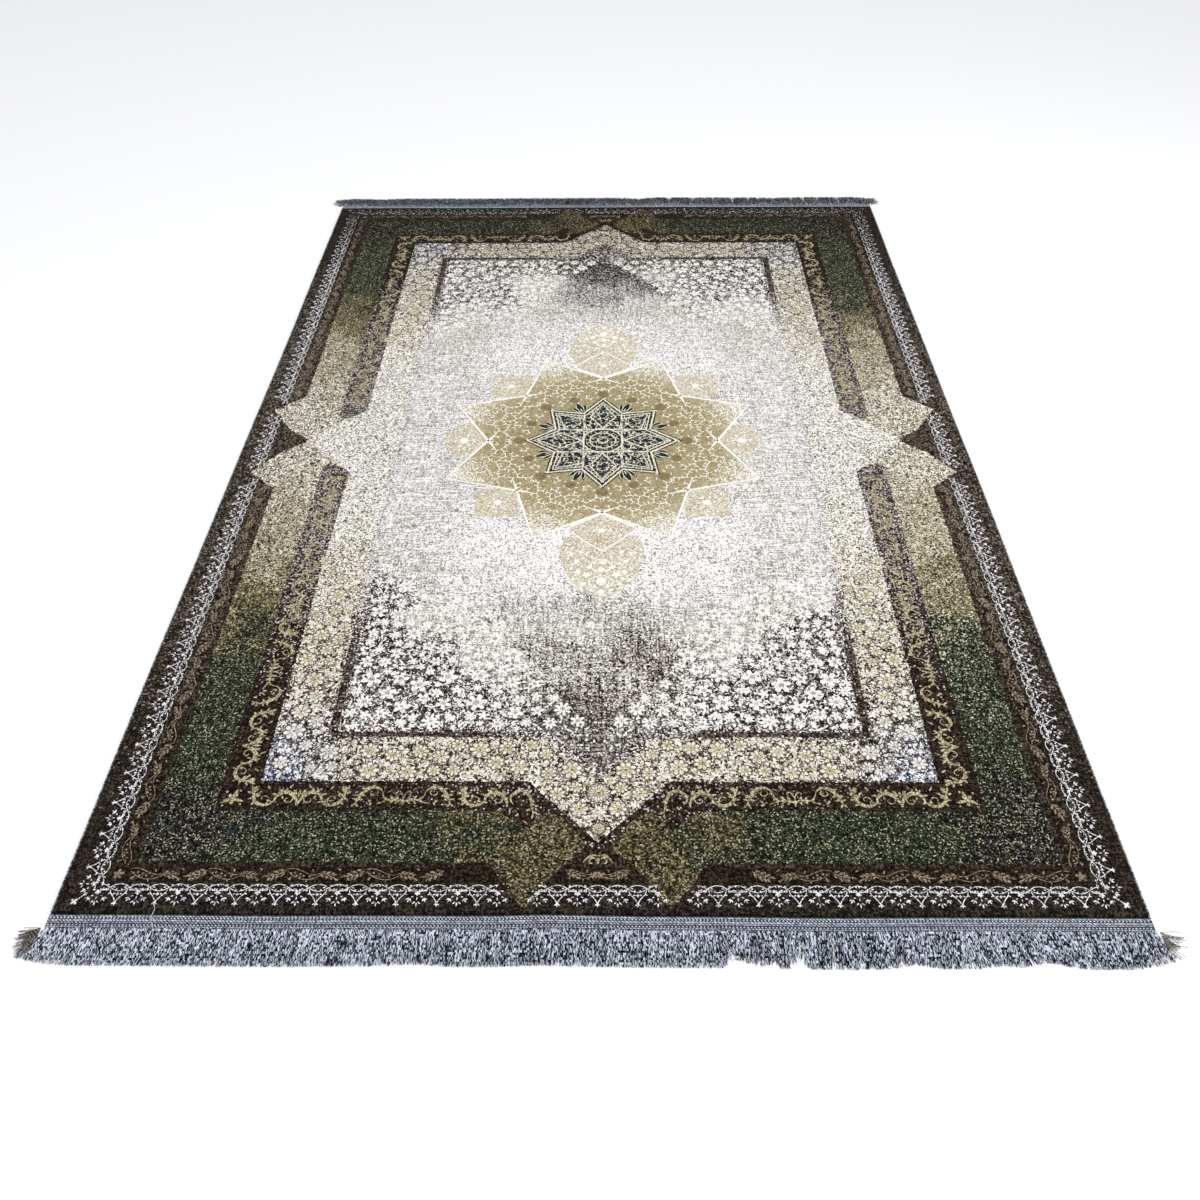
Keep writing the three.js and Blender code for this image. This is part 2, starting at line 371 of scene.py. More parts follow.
def field_pile():
    """Silver white field, speckled grey, with streaky dark ends and brown corners."""
    pile = Pile("silver_white_field_pile", 14.0, "8a827b bab4ad d6d1cb f6f3ef", 1.4)
    cloud = pile.clouds(5.0, 0.1)
    # Rows of weaving that are paler or greyer, and a bright patch on each side of the middle
    rows = pile.streaks(9.0, 190.0, 0.5)
    calm = pile.fade(pile.along, 0.8, 0.35, 0.1, 1.0)
    pile.over("e2e0de f4f3f2 ffffff", rows, calm)
    pile.over("7d7672 a8a29e cbc7c3", rows, -0.5, calm)
    pile.over("e6e3df f7f6f4 ffffff", (pile.along, 0.2, 0.45), (pile.along, 0.78, 0.58),
              (pile.across, 0.44, 0.3, 0.0, 0.5))
    # Both ends darken in streaks, as dyed. The far one darkens more, in a wedge whose right side
    # slants: painted shade
    shift = pile.both(pile.along, cloud, pile.streaks(110.0, 3.6, 0.06), operation="ADD")
    pile.over("655e5a 98928d bdb8b3 e4e1df", (shift, 0.45, 0.9, 0.0, 0.34))
    pile.over("14100e 38312c 655d57 b0a9a3", (shift, 0.69, 1.06, 0.0, 0.97),
              (pile.across, 0.44, 0.1))
    slant = pile.both(pile.x, pile.y, operation="ADD")
    pile.over("0f0d0b 231e1a 3a342f 6a645e", (pile.y, 0.42, 0.92, 0.0, 0.96),
              (pile.x, -0.26, -0.02), (slant, 1.12, 1.03), (shift, 0.5, 0.95))
    # Painted shade: the far half of the field a little greyer
    pile.over("7d7570 a8a29e c9c5c2", (pile.y, 0.3, 0.6, 0.0, 0.22))
    # Small white leaves in the points, and brown corners full of them
    pile.over("b4afab dad8d6 ffffff", (pile.along, 1.0, 1.09), pile.foliage(150.0, 0.6), 0.34)
    reach = pile.both(pile.both(pile.across, 0.8), pile.along, cloud, operation="ADD")
    side = pile.fade(pile.across, 0.1, 0.26)
    pile.over("150f0b 281e17 42362d 736860", (reach, 1.0, 1.18, 0.0, 0.97), side)
    pile.over("c4bfbb e6e4e2 ffffff", pile.foliage(100.0, 0.53), (reach, 0.98, 1.24, 0.0, 0.75),
              side)
    return pile.finish(far=0.7)


def khaki_pile():
    """Khaki medallion pile, deepest round the inner star and dithered to white at the tips."""
    pile = Pile("khaki_medallion_pile", 16.0, "897c59 9f916d b4a785", 0.3)
    radius = pile.radius()
    pile.over("988b66 aca07d c2b797", (radius, 0.28, 0.37, 0.0, 0.95))
    pile.over("b3aa94 cec8b9 eae7e0", (radius, 0.31, 0.44, 0.0, 0.9))
    pile.over("e4dfd2 f6f4ee ffffff", (radius, 0.32, 0.5, 0.0, 0.34))
    pile.over("e2ddcf f3f0e8 ffffff", pile.vines(95.0, 0.007, 0.08),
              (radius, 0.33, 0.42, 0.0, 0.5))
    return pile.finish()


def pale_khaki_pile():
    """The medallion's outer parts: khaki grains and small flowers, half lost in the white."""
    pile = Pile("pale_khaki_pile", 17.0, "a79c81 c3baa2 dbd4c3", 0.3)
    pile.over("dedacf f1efe9 ffffff", (pile.radius(), 0.3, 0.55, 0.02, 0.14))
    pile.over("e9e5da f8f6f1 ffffff", pile.vines(85.0, 0.007, 0.09), 0.22)
    return pile.finish()


def star_pile():
    """The ground of the inner star: dark blue and charcoal under a fine cream net."""
    pile = Pile("blue_star_pile", 18.0, "080a12 131822 252b30 4a4f4c", 0.2, 0.7)
    pile.over("98967f c4bfa6 e6e0c8 fffbe8", pile.vines(66.0, 0.004, 0.085), 0.9)
    pile.over("6b6a5c 9c9883 c8c2aa", pile.foliage(120.0, 0.6), 0.5)
    return pile.finish()


def backing_weave():
    """The back of the cloth: plain jute and cotton weave, stiff with size."""
    tones = "8a7c66 a3957d b8ab94 cbc0ab"
    return Pile("jute_backing_weave", 19.0, tones, 0.8, 0.6).finish(0.6)


def petal_pile(name, salt, warm, white):
    """Petals of the cream band, whiter by the corners and by the middle of the sides."""
    pile = Pile(name, salt, warm, 0.2, 0.8)
    corner = pile.both((pile.across, 0.45, 0.6), (pile.along, 0.9, 1.1))
    pile.over(white, pile.both(corner, (pile.along, 0.5, 0.25), operation="MAXIMUM"))
    return pile.finish(0.3, 0.28)


def motif_pile(name, salt, tones, far=0.46, scale=0.7):
    """Dyed pile of a motif: one colour, uneven from knot to knot, with painted shade at its far end.
    """
    return Pile(name, salt, tones, 0.2, scale).finish(0.3, far)


# Cotton and yarn

def tape_material(name, tones):
    """Woven cotton tape or sewing yarn with a fine slanting twill."""
    made, tree, position = new_material(name)
    twill = add(tree, "ShaderNodeTexWave", {
        "Vector": position, "Scale": 95.0, "Distortion": 1.2, "Detail": 1.0,
    }, out=1, bands_direction="DIAGONAL")
    grain = speckle(tree, position, 0.0022, 41.0, 0.4)
    value = add(tree, "ShaderNodeMix", {0: 0.35, 2: grain, 3: twill}, data_type="FLOAT")
    finished(tree, palette(tree, value, tones), 0.6, 0.3, twill, 0.4, 0.0006)
    return made


def yarn_material(name):
    """Glossy twisted yarns of mixed greys. Each yarn's own shade, with painted highlight and shade
    along it, is in its tone attribute, and painted glints dash along the twist.
    """
    made, tree, position = new_material(name)
    tone = add(tree, "ShaderNodeAttribute", out=2, attribute_name="tone")
    # Painted glints: short light and dark dashes along the yarns
    twist_glints = dither(tree, position, (0.0016, 0.0044, 1.0), 7.0)
    tone = add(tree, "ShaderNodeMath", {0: twist_glints, 1: 1.9, 2: tone}, operation="MULTIPLY_ADD")
    tone = add(tree, "ShaderNodeMath", {0: tone, 1: -0.98}, operation="ADD")
    tint = palette(tree, tone, "0b0c10 2b2e36 6d7482 a9b2c2 ecf1fa", 0.0, 1.0)
    finished(tree, tint, 0.36, 0.45)
    return made


def overcast_material():
    """Matt grey wool yarn, its shade uneven from stitch to stitch."""
    made, tree, position = new_material("grey_overcast_yarn")
    stitch = dither(tree, position, (1.0, 0.002, 1.0), 0.0)
    cut_pile(tree, palette(tree, stitch, "4c4a48 7f7d7b b3b1af"), 0.1, 0.7)
    return made


# Outlines of the pattern

def polar(radius, turn):
    """The place at a distance from the origin, at an angle in degrees."""
    return radius * math.cos(math.radians(turn)), radius * math.sin(math.radians(turn))


def star(outer, inner, turn=0.0):
    """An eight-pointed star round the origin. Its first point lies at the angle turn."""
    return [polar(inner if k % 2 else outer, turn + 22.5 * k) for k in range(16)]


def mirrored(quarter):
    """A closed outline from its part in the far right quarter, which runs from the right side's
    middle to the far end's middle. Points on a middle line are shared."""
    half = quarter + [(-x, y) for x, y in reversed(quarter) if x > 0]
    return half + [(x, -y) for x, y in reversed(half) if y > 0]


def shifted(y):
    """A place along the rug, moved with the pattern's middle."""
    t = min(1.0, abs(y) / SHIFT_REACH)
    return y + MIDDLE_Y * (1 - t * t * (3 - 2 * t))


def moved(outline, dy=0.0, turn=0.0, flip=False):
    """An outline mirrored, turned in degrees and moved along the rug."""
    c, s = polar(1, turn)
    side = -1 if flip else 1
    return [(c * side * x - s * y, s * side * x + c * y + dy) for x, y in outline]


def woven_edge(outline, rng, ragged, step=5.0):
    """A straight-sided outline with the small steps that knots give it."""
    made = []
    for (x0, y0), (x1, y1) in zip(outline, outline[1:] + outline[:1]):
        length = math.hypot(x1 - x0, y1 - y0)
        count = max(1, round(length / step))
        nx, ny = (y1 - y0) / length, (x0 - x1) / length
        for k in range(count):
            t = k / count
            off = rng.uniform(-ragged, ragged) if k else 0.0
            made.append((x0 + (x1 - x0) * t + nx * off, y0 + (y1 - y0) * t + ny * off))
    return made


def cloth_outline():
    """The outline of the cloth's solid, in millimetres, in order round the rug."""
    middle = (CLOTH_LOW.z + CLOTH_HIGH.z) / 2
    seen = {(round(v.co.x / MM, 2), round(v.co.y / MM, 2))
            for v in frame["nodes"]["rug_cloth"].data.vertices
            if 0 < middle - v.co.z < 0.45 * (CLOTH_HIGH.z - CLOTH_LOW.z)}
    return sorted(seen, key=lambda p: math.atan2(p[1], p[0]))


# The quarter outlines run from the right side's middle to the far end's middle
CREAM_QUARTER = [(829, 0), (681, 148), (681, 1199), (142, 1199), (0, 1344)]
SCROLL_QUARTER = [
    (676, 0), (676, 140), (742, 106), (758, 122), (758, 1271), (192, 1271), (143, 1320),
    (118, 1283), (101, 1275), (84, 1279), (67, 1293), (49, 1314), (34, 1335), (24, 1349), (0, 1370),
]
GREEN_CORNER = [
    (24, 1345), (24, 1150), (640, 1150), (640, 8), (826, 8), (850, 26), (884, 54), (912, 94),
    (926, 118), (950, 150), (926, 168), (906, 190), (872, 218), (872, 1389), (208, 1389),
    (192, 1408), (178, 1434), (160, 1462), (135, 1486), (114, 1466), (98, 1434), (72, 1402),
    (48, 1378), (30, 1362),
]
LINE_QUARTER = [(568, 0), (568, 1084), (108, 1084), (0, 1190)]
FIELD_QUARTER = [(550, 0), (550, 1070), (103, 1070), (0, 1174)]
COLLAR = [(0, 324), (88, 382), (46, 430), (0, 470), (-46, 430), (-88, 382)]


def outer_parts():
    """The outlines of the medallion's outer parts, round its middle: the squares on the
    diagonals, the lozenges at the sides and the pendants with their collars."""
    square = [(215, 220), (330, 220), (330, 335), (215, 335)]
    lozenge = [(317, 0), (352, -52), (384, -84), (408, -72), (445, -12), (445, 12),
               (408, 72), (384, 84), (352, 52)]
    side = [(22, 630), (52, 606), (78, 570), (98, 520), (105, 486), (98, 440), (84, 408)]
    pendant = [(0, 647)] + side + [(0, 400)] + [(-x, y) for x, y in reversed(side)]
    parts = []
    for turn in (0, 180):
        parts += [moved(square, turn=turn), moved(square, turn=turn, flip=True)]
        parts += [moved(part, turn=turn) for part in (lozenge, pendant, COLLAR)]
    return parts


# Meshes

def make_piece(name, points, faces, materials, replaced=(), kinds=None):
    """A new mesh object in metres at the origin, riding on the rug."""
    mesh = bpy.data.meshes.new(name)
    mesh.from_pydata((np.asarray(points, float) * MM).tolist(), [], faces)
    for made in materials:
        mesh.materials.append(made)
    mesh.polygons.foreach_set("material_index", kinds or [0] * len(faces))
    mesh.update()
    piece = bpy.data.objects.new(name, mesh)
    bpy.context.collection.objects.link(piece)
    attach(piece, "root")
    if replaced:
        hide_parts(*replaced)
    return piece


# Where copies of a motif stand: x and y, and after them, if they differ from 0, False and 1,
# the turn in degrees, the mirroring and the size
BOTH_SIDES = [(0, 0), (0, 0, 0, True)]
FOUR_WAYS = BOTH_SIDES + [(0, 0, 180), (0, 0, 180, True)]


def around(count, start=0.0):
    """Places for copies turned evenly round the origin."""
    return [(0, 0, start + 360 * k / count) for k in range(count)]


def band_spots(half, ends, sides=()):
    """Where a border motif stands, with u along its band and v outwards. half is how far the
    band lies from the rug's middle, across and along, and ends and sides are places on it. The
    two halves of each band mirror each other."""
    spots = []
    for way in (-1, 1):
        for u in sorted({sign * place for place in ends for sign in (-1, 1)}):
            spots.append((u, way * half[1], 0 if way > 0 else 180, u * way < 0))
        for u in sorted({sign * place for place in sides for sign in (-1, 1)}):
            spots.append((way * half[0], shifted(u), -90 * way, u * way > 0))
    return spots


class Relief:
    """Small closed pieces of raised pile, drawn flat and gathered into one mesh. Level 0 is
    sunk in the ground and level 1 is a motif's own top."""

    def __init__(self):
        self.points = []
        self.faces = []
        self.kinds = []
        self.shapes = 0

    def top(self, kind):
        """The next shape's own height, so that no two tops lie in one plane."""
        self.shapes += 1
        return 1 + 0.3 * kind + 0.04 * (self.shapes % 7)

    def patch(self, outline, kind=0, inset=0.86):
        """A filled shape, drawn anticlockwise, that its middle sees all round."""
        n = len(outline)
        top = self.top(kind)
        cx = sum(p[0] for p in outline) / n
        cy = sum(p[1] for p in outline) / n
        at = len(self.points)
        self.points += [(x, y, 0) for x, y in outline]
        self.points += [(cx + (x - cx) * inset, cy + (y - cy) * inset, top) for x, y in outline]
        self.points += [(cx, cy, top + 0.15), (cx, cy, 0)]
        for k in range(n):
            m = (k + 1) % n
            self.faces += [(at + k, at + m, at + n + m, at + n + k),
                           (at + n + k, at + n + m, at + 2 * n), (at + m, at + k, at + 2 * n + 1)]
        self.kinds += [kind] * 3 * n

    def put(self, shape, rows, kind=0):
        """Filled shapes of one sort, such as leaves, from the numbers that each one takes."""
        for row in rows:
            self.patch(shape(*row), kind)

    def stroke(self, path, widths, kind=0):
        """A ribbon along a path, with a width for each point or one for all."""
        n = len(path)
        top = self.top(kind)
        at = len(self.points)
        for k, ((x, y), width) in enumerate(zip(path, np.broadcast_to(widths, n).tolist())):
            x0, y0 = path[max(0, k - 1)]
            x1, y1 = path[min(n - 1, k + 1)]
            d = math.hypot(x1 - x0, y1 - y0) or 1.0
            nx, ny = (y0 - y1) / d * width / 2, (x1 - x0) / d * width / 2
            self.points += [(x - nx, y - ny, 0), (x - nx * 0.7, y - ny * 0.7, top),
                            (x + nx * 0.7, y + ny * 0.7, top), (x + nx, y + ny, 0)]
        z = at + 4 * (n - 1)
        self.faces += [(a + p, a + 4 + p, a + 4 + (p + 1) % 4, a + (p + 1) % 4)
                       for a in range(at, z, 4) for p in range(4)]
        self.faces += [(at, at + 1, at + 2, at + 3), (z + 3, z + 2, z + 1, z)]
        self.kinds += [kind] * (4 * n - 2)

    def ring(self, outline, width, kind=0):
        """A ribbon round a closed outline."""
        self.stroke(outline + outline[:1], width, kind)

    def line(self, path, thick, kind=0, ends=0.35):
        """A smooth stroke through a few points, which swells towards its middle."""
        curve = smooth(path)
        last = len(curve) - 1
        swell = [math.sin(math.pi * k / last) ** 0.8 for k in range(last)] + [0.0]
        self.stroke(curve, [thick * (ends + (1 - ends) * s) for s in swell], kind)

    def lay(self, part, places):
        """Adds copies of another relief, each at its own place."""
        base = np.array(part.points, float)
        for place in places:
            dx, dy, turn, flip, size = (*place, *(0, False, 1.0)[len(place) - 2:])
            c, s = math.cos(math.radians(turn)) * size, math.sin(math.radians(turn)) * size
            x, y, z = -base[:, 0] if flip else base[:, 0], base[:, 1], base[:, 2]
            at = len(self.points)
            self.points += np.stack([c * x - s * y + dx, s * x + c * y + dy, z], 1).tolist()
            step = -1 if flip else 1
            self.faces += [tuple(at + i for i in f[::step]) for f in part.faces]
            self.kinds += part.kinds

    def copies(self, places):
        """A new relief of copies of this one."""
        made = Relief()
        made.lay(self, places)
        return made

    def piece(self, name, *materials):
        """The finished object, on the pile."""
        height = bpy.context.scene.rug_sizes.motif_height / MM
        points = np.array(self.points, float)
        z = points[:, 2]
        points[:, 2] = np.where(z > 0, PILE_TOP + height * z, PILE_TOP - 0.4)
        make_piece(name, points, self.faces, materials, kinds=self.kinds)


def strands(paths, radii, sides=3):
    """Closed round strands along many paths at once: their points and their faces."""
    n, s = paths.shape[:2]
    ahead = np.gradient(paths, axis=1)
    ahead /= np.linalg.norm(ahead, axis=2, keepdims=True)
    across = np.cross(ahead, (0.0, 0.0, 1.0))
    across /= np.linalg.norm(across, axis=2, keepdims=True)
    over = np.cross(across, ahead)
    turns = 2 * math.pi * np.arange(sides) / sides + math.pi / 2
    rings = (np.cos(turns)[:, None] * across[:, :, None] + np.sin(turns)[:, None] * over[:, :, None])
    points = paths[:, :, None] + rings * radii[:, :, None, None]
    at = np.arange(n * s * sides).reshape(n, s, sides)
    after = np.roll(at, -1, axis=2)
    walls = np.stack([at[:, :-1], at[:, 1:], after[:, 1:], after[:, :-1]], -1).reshape(-1, 4)
    caps = at[:, 0].tolist() + at[:, -1, ::-1].tolist()
    return points.reshape(-1, 3), walls.tolist() + caps


def rim_line(at, way, axis=0, least=1480):
    """How far out the cloth's edge lies at places across it, at the far (1) or near (-1) end.
    With axis 1, the places are along it and the edge is the right (1) or left (-1) one. All of
    the edge lies further than least from the rug's middle."""
    rim = sorted((p[axis], p[1 - axis] * way) for p in cloth_outline() if p[1 - axis] * way > least)
    return np.interp(at, [p[0] for p in rim], [p[1] for p in rim])


def loft(sections, end):
    """A closed solid through equal sections along x, turned inside out for the near end."""
    count, size = len(sections), len(sections[0])
    points = [p for section in sections for p in section]
    faces = []
    for s in range(0, (count - 1) * size, size):
        for k in range(size):
            m = (k + 1) % size
            faces.append((s + k, s + size + k, s + size + m, s + m))
    faces += [tuple(range(size)), tuple(reversed(range((count - 1) * size, count * size)))]
    return points, [f if end > 0 else f[::-1] for f in faces]


# Small shapes that the motifs are drawn from

def circle(x, y, r, n=6):
    """A round outline."""
    return [(x + r * math.cos(2 * math.pi * k / n), y + r * math.sin(2 * math.pi * k / n))
            for k in range(n)]


def bloom(x, y, r, petals, waist, turn=90.0):
    """A flower's scalloped outline. Its first petal points at the angle turn."""
    made = []
    for k in range(petals * 4):
        a = 2 * math.pi * k / (petals * 4)
        reach = r * (waist + (1 - waist) * abs(math.cos(petals * a / 2)) ** 0.7)
        b = a + math.radians(turn)
        made.append((x + reach * math.cos(b), y + reach * math.sin(b)))
    return made


def leaf(x, y, turn, length, width, bend=0.0):
    """A pointed leaf's outline from its foot, at an angle in degrees, bent to one side."""
    made = []
    c, s = polar(1, turn)
    for side, t in ((-1, 0.0), (-1, 0.3), (-1, 0.68), (-1, 1.0), (1, 0.68), (1, 0.3)):
        u = t * length
        v = side * 0.5 * math.sin(math.pi * t ** 0.8) * width + bend * t * t
        made.append((x + c * u - s * v, y + s * u + c * v))
    return made


def smooth(path):
    """A smooth curve through a few points, with two steps to each stretch."""
    made = []
    p = [path[0], *path, path[-1]]
    for a, b, c, d in zip(p, p[1:], p[2:], p[3:]):
        for t in (0.0, 0.5):
            made.append(tuple(
                0.5 * (2 * b[i] + (c[i] - a[i]) * t + (2 * a[i] - 5 * b[i] + 4 * c[i] - d[i]) * t * t
                       + (3 * b[i] - a[i] - 3 * c[i] + d[i]) * t ** 3) for i in range(2)))
    return made + [path[-1]]


def scatter(rng, tries, low, high, sizes, room, allowed, taken=()):
    """Places in a rectangle, each with its own radius, that keep off each other and off those
    that are taken."""
    spots = list(taken)
    for _ in range(tries):
        x, y, r = rng.uniform(low[0], high[0]), rng.uniform(low[1], high[1]), rng.uniform(*sizes)
        if allowed(x, y, r) and all(math.hypot(x - a, y - b) > room * (r + s) for a, b, s in spots):
            spots.append((x, y, r))
    return spots[len(taken):]


# The ground

def region_outlines():
    """The outlines of the regions from the lowest up, with each one's material and how ragged
    its edge is."""
    edges = [(mirrored([(x, 0), (x, y), (0, y)]), kind, 0.9)
             for kind, (x, y) in enumerate((LEAF_OUTER, LEAF_INNER), 1)]
    bands = [(moved(GREEN_CORNER, turn=turn, flip=flip), 3, 2.2)
             for flip in (False, True) for turn in (0, 180)]
    bands += [(mirrored(SCROLL_QUARTER), 4, 1.8), (mirrored(CREAM_QUARTER), 5, 1.6),
              (mirrored(LINE_QUARTER), 6, 1.2), (mirrored(FIELD_QUARTER), 7, 1.6)]
    inner = [(part, 10, 2.4) for part in outer_parts()]
    inner += [(star(455, 319, 22.5), 8, 1.5), (star(212, 146), 9, 0.6)]
    return [(cloth_outline(), 0, 0.0), *edges,
            *(([(x, shifted(y)) for x, y in outline], kind, edge) for outline, kind, edge in bands),
            *((moved(part, MIDDLE_Y), kind, edge) for part, kind, edge in inner)]


def ground():
    """One slab, its top cut into the regions of the pattern."""
    rng = random.Random(11)
    materials = [
        brown_pile("margin_brown_black_pile", 1.0, "100d0a 1c1813 2a241e 453c34",
                   "1f1914 3a3029 5f564d 8c8479", 1.42, 0.45, 0.5),
        brown_pile("leaf_band_brown_pile", 2.0, "0c0906 19130e 271e17 3f352c",
                   "1f1813 3b322a 584e45 857b70", 1.38, 0.5, 0.5),
        brown_pile("dark_line_pile", 3.0, "110c08 1e1712 30271f 52473c",
                   "2b231c 574c3f 857a67", 1.0, 0.45, 0.4),
        green_pile(), scroll_band_pile(), cream_pile(), field_line_pile(), field_pile(),
        khaki_pile(), star_pile(), pale_khaki_pile(), backing_weave(),
    ]
    points, loops, regions = [], [], []
    for outline, kind, edge in region_outlines():
        ragged = woven_edge(outline, rng, edge) if edge else outline
        area = sum(a[0] * b[1] - b[0] * a[1] for a, b in zip(ragged, ragged[1:] + ragged[:1]))
        if area < 0:
            ragged = ragged[::-1]
        loops.append(list(range(len(points), len(points) + len(ragged))))
        points += ragged
        regions.append(kind)
    flat, _, tops, _, _, owners = delaunay_2d_cdt(points, [], loops, 1, 1e-4)

    count = len(flat)
    edges = {(a, b) for face in tops for a, b in zip(face, [*face[1:], face[0]])}
    rim = sorted((a, b) for a, b in edges if (b, a) not in edges)
    index = {a: 2 * count + k for k, (a, _) in enumerate(rim)}
    made = [(p[0], p[1], z) for z in (PILE_TOP, CLOTH_LOW.z / MM) for p in flat]
    made += [(flat[a][0], flat[a][1], PILE_TOP - 2.0) for a in index]
    # The top's rim lies a little inside the slab's walls, and points past these limits are on it
    inset, long_side, short_side = 1.8, 985, 1485
    for a in index:
        x, y = flat[a]
        made[a] = (x - math.copysign(inset, x) * (abs(x) > long_side),
                   y - math.copysign(inset, y) * (abs(y) > short_side), PILE_TOP)
    faces = [tuple(f) for f in tops] + [tuple(count + i for i in reversed(f)) for f in tops]
    for a, b in rim:
        faces += [(b, a, index[a], index[b]), (index[b], index[a], count + a, count + b)]
    kinds = [regions[max(o)] for o in owners] + [len(materials) - 1] * len(tops)
    kinds += [0] * (len(faces) - len(kinds))
    piece = make_piece("rug_ground", made, faces, materials, ("rug_cloth",), kinds)
    flat_map(piece, len(tops))


def flat_map(piece, tops):
    """The cloth's flat map: its top, which is its first faces, fills all but a strip, where its
    back lies."""
    layer = piece.data.uv_layers.new(name="OFBake")
    size = CLOTH_HIGH - CLOTH_LOW
    strip = 0.06
    for face in piece.data.polygons:
        for loop in face.loop_indices:
            at = piece.data.vertices[piece.data.loops[loop].vertex_index].co
            u, v = (at.x - CLOTH_LOW.x) / size.x, (at.y - CLOTH_LOW.y) / size.y
            v = strip + (1 - strip) * v if face.index < tops else 0.9 * strip * v
            layer.data[loop].uv = (u, v)


# The borders

def lace_border():
    """Ovals of interlaced white vine, with drops and hanging sprays."""
    half = Relief()
    us = np.linspace(0, LACE_PERIOD / 2, 7)
    for side in (-1, 1):
        half.stroke([(u, 10 + side * 7.5 * math.cos(math.pi * u / us[-1])) for u in us], 1.8)
    half.line([(16, 14), (14, 21), (8, 28), (3, 35), (0, 42)], 2.2, ends=0.8)
    half.put(leaf, [(9, 25, -150, 6, 2.8), (13, 22, 20, 6, 2.8), (19, 12, 60, 7, 3),
                    (8, 4, 20, 6, 2.8), (13, 9, 170, 6, 2.8), (25, 3, 150, 6, 2.8),
                    (27, 12, 10, 6, 2.8), (33, 2, 70, 6, 2.8), (4, 12, 70, 7, 3),
                    (22, 16, -20, 6, 2.6), (35, 12, 120, 6, 2.8)])
    drop = half.copies(BOTH_SIDES)
    drop.put(leaf, [(0, 37, 90, 12, 4.6), (0, 42, 148, 7, 3), (0, 42, 32, 7, 3)])
    drop.put(bloom, [(0, 24, 3.6, 4, 0.4)])

    half = Relief()
    half.put(leaf, [(13, 31, 20, 8, 3.4), (13, 31, 65, 10, 3.4), (13, 31, 110, 8, 3.4),
                    (2, 38, 40, 8, 3), (6, 27, 20, 6, 2.6), (5, 15, 10, 7, 3)])
    spray = half.copies(BOTH_SIDES)
    spray.put(leaf, [(0, 28, 90, 8, 2.6), (0, 39, 90, 10, 3.6)])
    spray.put(bloom, [(0, 20, 6.2, 5, 0.55)])

    ends = [887 - LACE_PERIOD * k for k in range(10)] + [74, 0]
    sides = [1401 - LACE_PERIOD * k for k in range(17)] + [74, 0]
    lace = drop.copies(band_spots(LACE_LINE, ends, sides))
    lace.lay(spray, band_spots(LACE_LINE, [u + 37 for u in ends] + [184],
                               [u + 37 for u in sides]))
    corner = Relief()
    corner.line([(0, 2), (0, 10), (0, 20)], 2.2, ends=0.8)
    corner.put(circle, [(0, 3, 3.4)])
    corner.put(bloom, [(0, 26, 8.0, 4, 0.32)])
    lace.lay(corner, [(side * 944, end * 1457, math.degrees(math.atan2(end, side)) - 90)
                      for end in (-1, 1) for side in (-1, 1)])
    lace.piece("lace_border", motif_pile(
        "lilac_white_lace_pile", 21.0, "7d7a80 c4c1c6 ebe9ec ffffff", 0.78))


def leaf_vine():
    """The tan vine of serrated leaves and berried loops."""
    serrated = Relief()
    serrated.line([(0, 0), (12, 2), (24, 0), (36, -5)], 2.6, ends=0.6)
    for at, reach in ((3, 13), (12, 16), (21, 14), (29, 10)):
        serrated.put(leaf, [(at, 1, 46, reach, 5.6, -2), (at, 0, -46, reach, 5.6, 2)])
    serrated.put(leaf, [(33, -4, -10, 11, 5)])
    unit = serrated.copies([(-72, -9, 26, False, 1.05), (12, -2, 168, False, 0.88)])
    unit.line([(10, -3), (20, 1), (34, -2), (48, -9), (62, -13), (76, -11)], 2.3, ends=0.7)
    unit.line([(8, 0), (20, 8), (34, 11), (50, 8), (62, 2), (72, -6)], 2.3, ends=0.7)
    unit.put(circle, [(41, 3, 2.7), (48, -1, 2.7), (54, 3, 2.7), (48, 5, 2.4), (59, -4, 2.6),
                      (66, -3, 2.4), (29, 4, 2.6)])
    unit.put(leaf, [(24, -4, -70, 10, 4.4), (34, 12, 80, 5, 3.6), (62, 4, 50, 11, 4.4),
                    (-26, 10, 30, 9, 4), (-28, -9, -30, 9, 4), (70, 8, 150, 9, 4)])
    ends = [805 - LEAF_PERIOD * k for k in range(4)]
    sides = [1322 - LEAF_PERIOD * k for k in range(8)]
    vine = unit.copies(band_spots(LEAF_MIDDLE, ends, sides))
    corner = Relief()
    corner.put(bloom, [(0, 0, 12, 5, 0.4)])
    across, along = LEAF_MIDDLE
    for end, turn in ((-1, 180), (1, 0)):
        for side in (1, -1):
            vine.lay(unit, [(0, end * (along - 2), turn, side < 0, 0.8)])
            vine.lay(corner, [(side * across, end * along)])
    vine.piece("leaf_vine", motif_pile("tan_leaf_pile", 22.0, "463a2d 6a5b48 887965 ac9d88"))


def low_scroll():
    """Half of a pair whose scrolls hang outwards."""
    part = Relief()
    part.line([(1, 24), (3, 12), (10, 0), (22, -9), (36, -8), (45, 2), (48, 12)], 10.5, ends=0.12)
    part.line([(44, 8), (54, 18), (66, 22), (79, 18), (88, 8), (91, -4), (92, -14)], 9.0, ends=0.2)
    part.line([(10, 2), (13, 13), (21, 16), (27, 10), (22, 5)], 3.4)
    part.line([(62, 19), (58, 8), (65, 0), (73, 3), (72, 9)], 3.0)
    part.put(leaf, [
        (22, -18, -118, 14, 4.6), (60, -15, -58, 14, 5), (36, -12, -100, 11, 4),
        (74, -12, 40, 12, 4.4), (90, -8, -110, 19, 7), (91, -6, -70, 21, 7),
        (89, 0, -145, 16, 6.5), (34, -2, 110, 11, 4.6), (52, 14, -20, 12, 4.6),
        (4, -2, -62, 18, 6, 2), (12, -4, -112, 13, 6.5), (24, -9, -75, 12, 6),
        (35, -9, -48, 14, 6), (44, -3, -12, 13, 6), (89, 6, 5, 12, 6), (93, -6, -22, 13, 6),
        (84, 14, 42, 12, 6), (94, -15, -128, 13, 6), (94, -16, -62, 12, 6), (51, 12, 160, 12, 6),
        (88, 2, 200, 12, 6)])
    return part


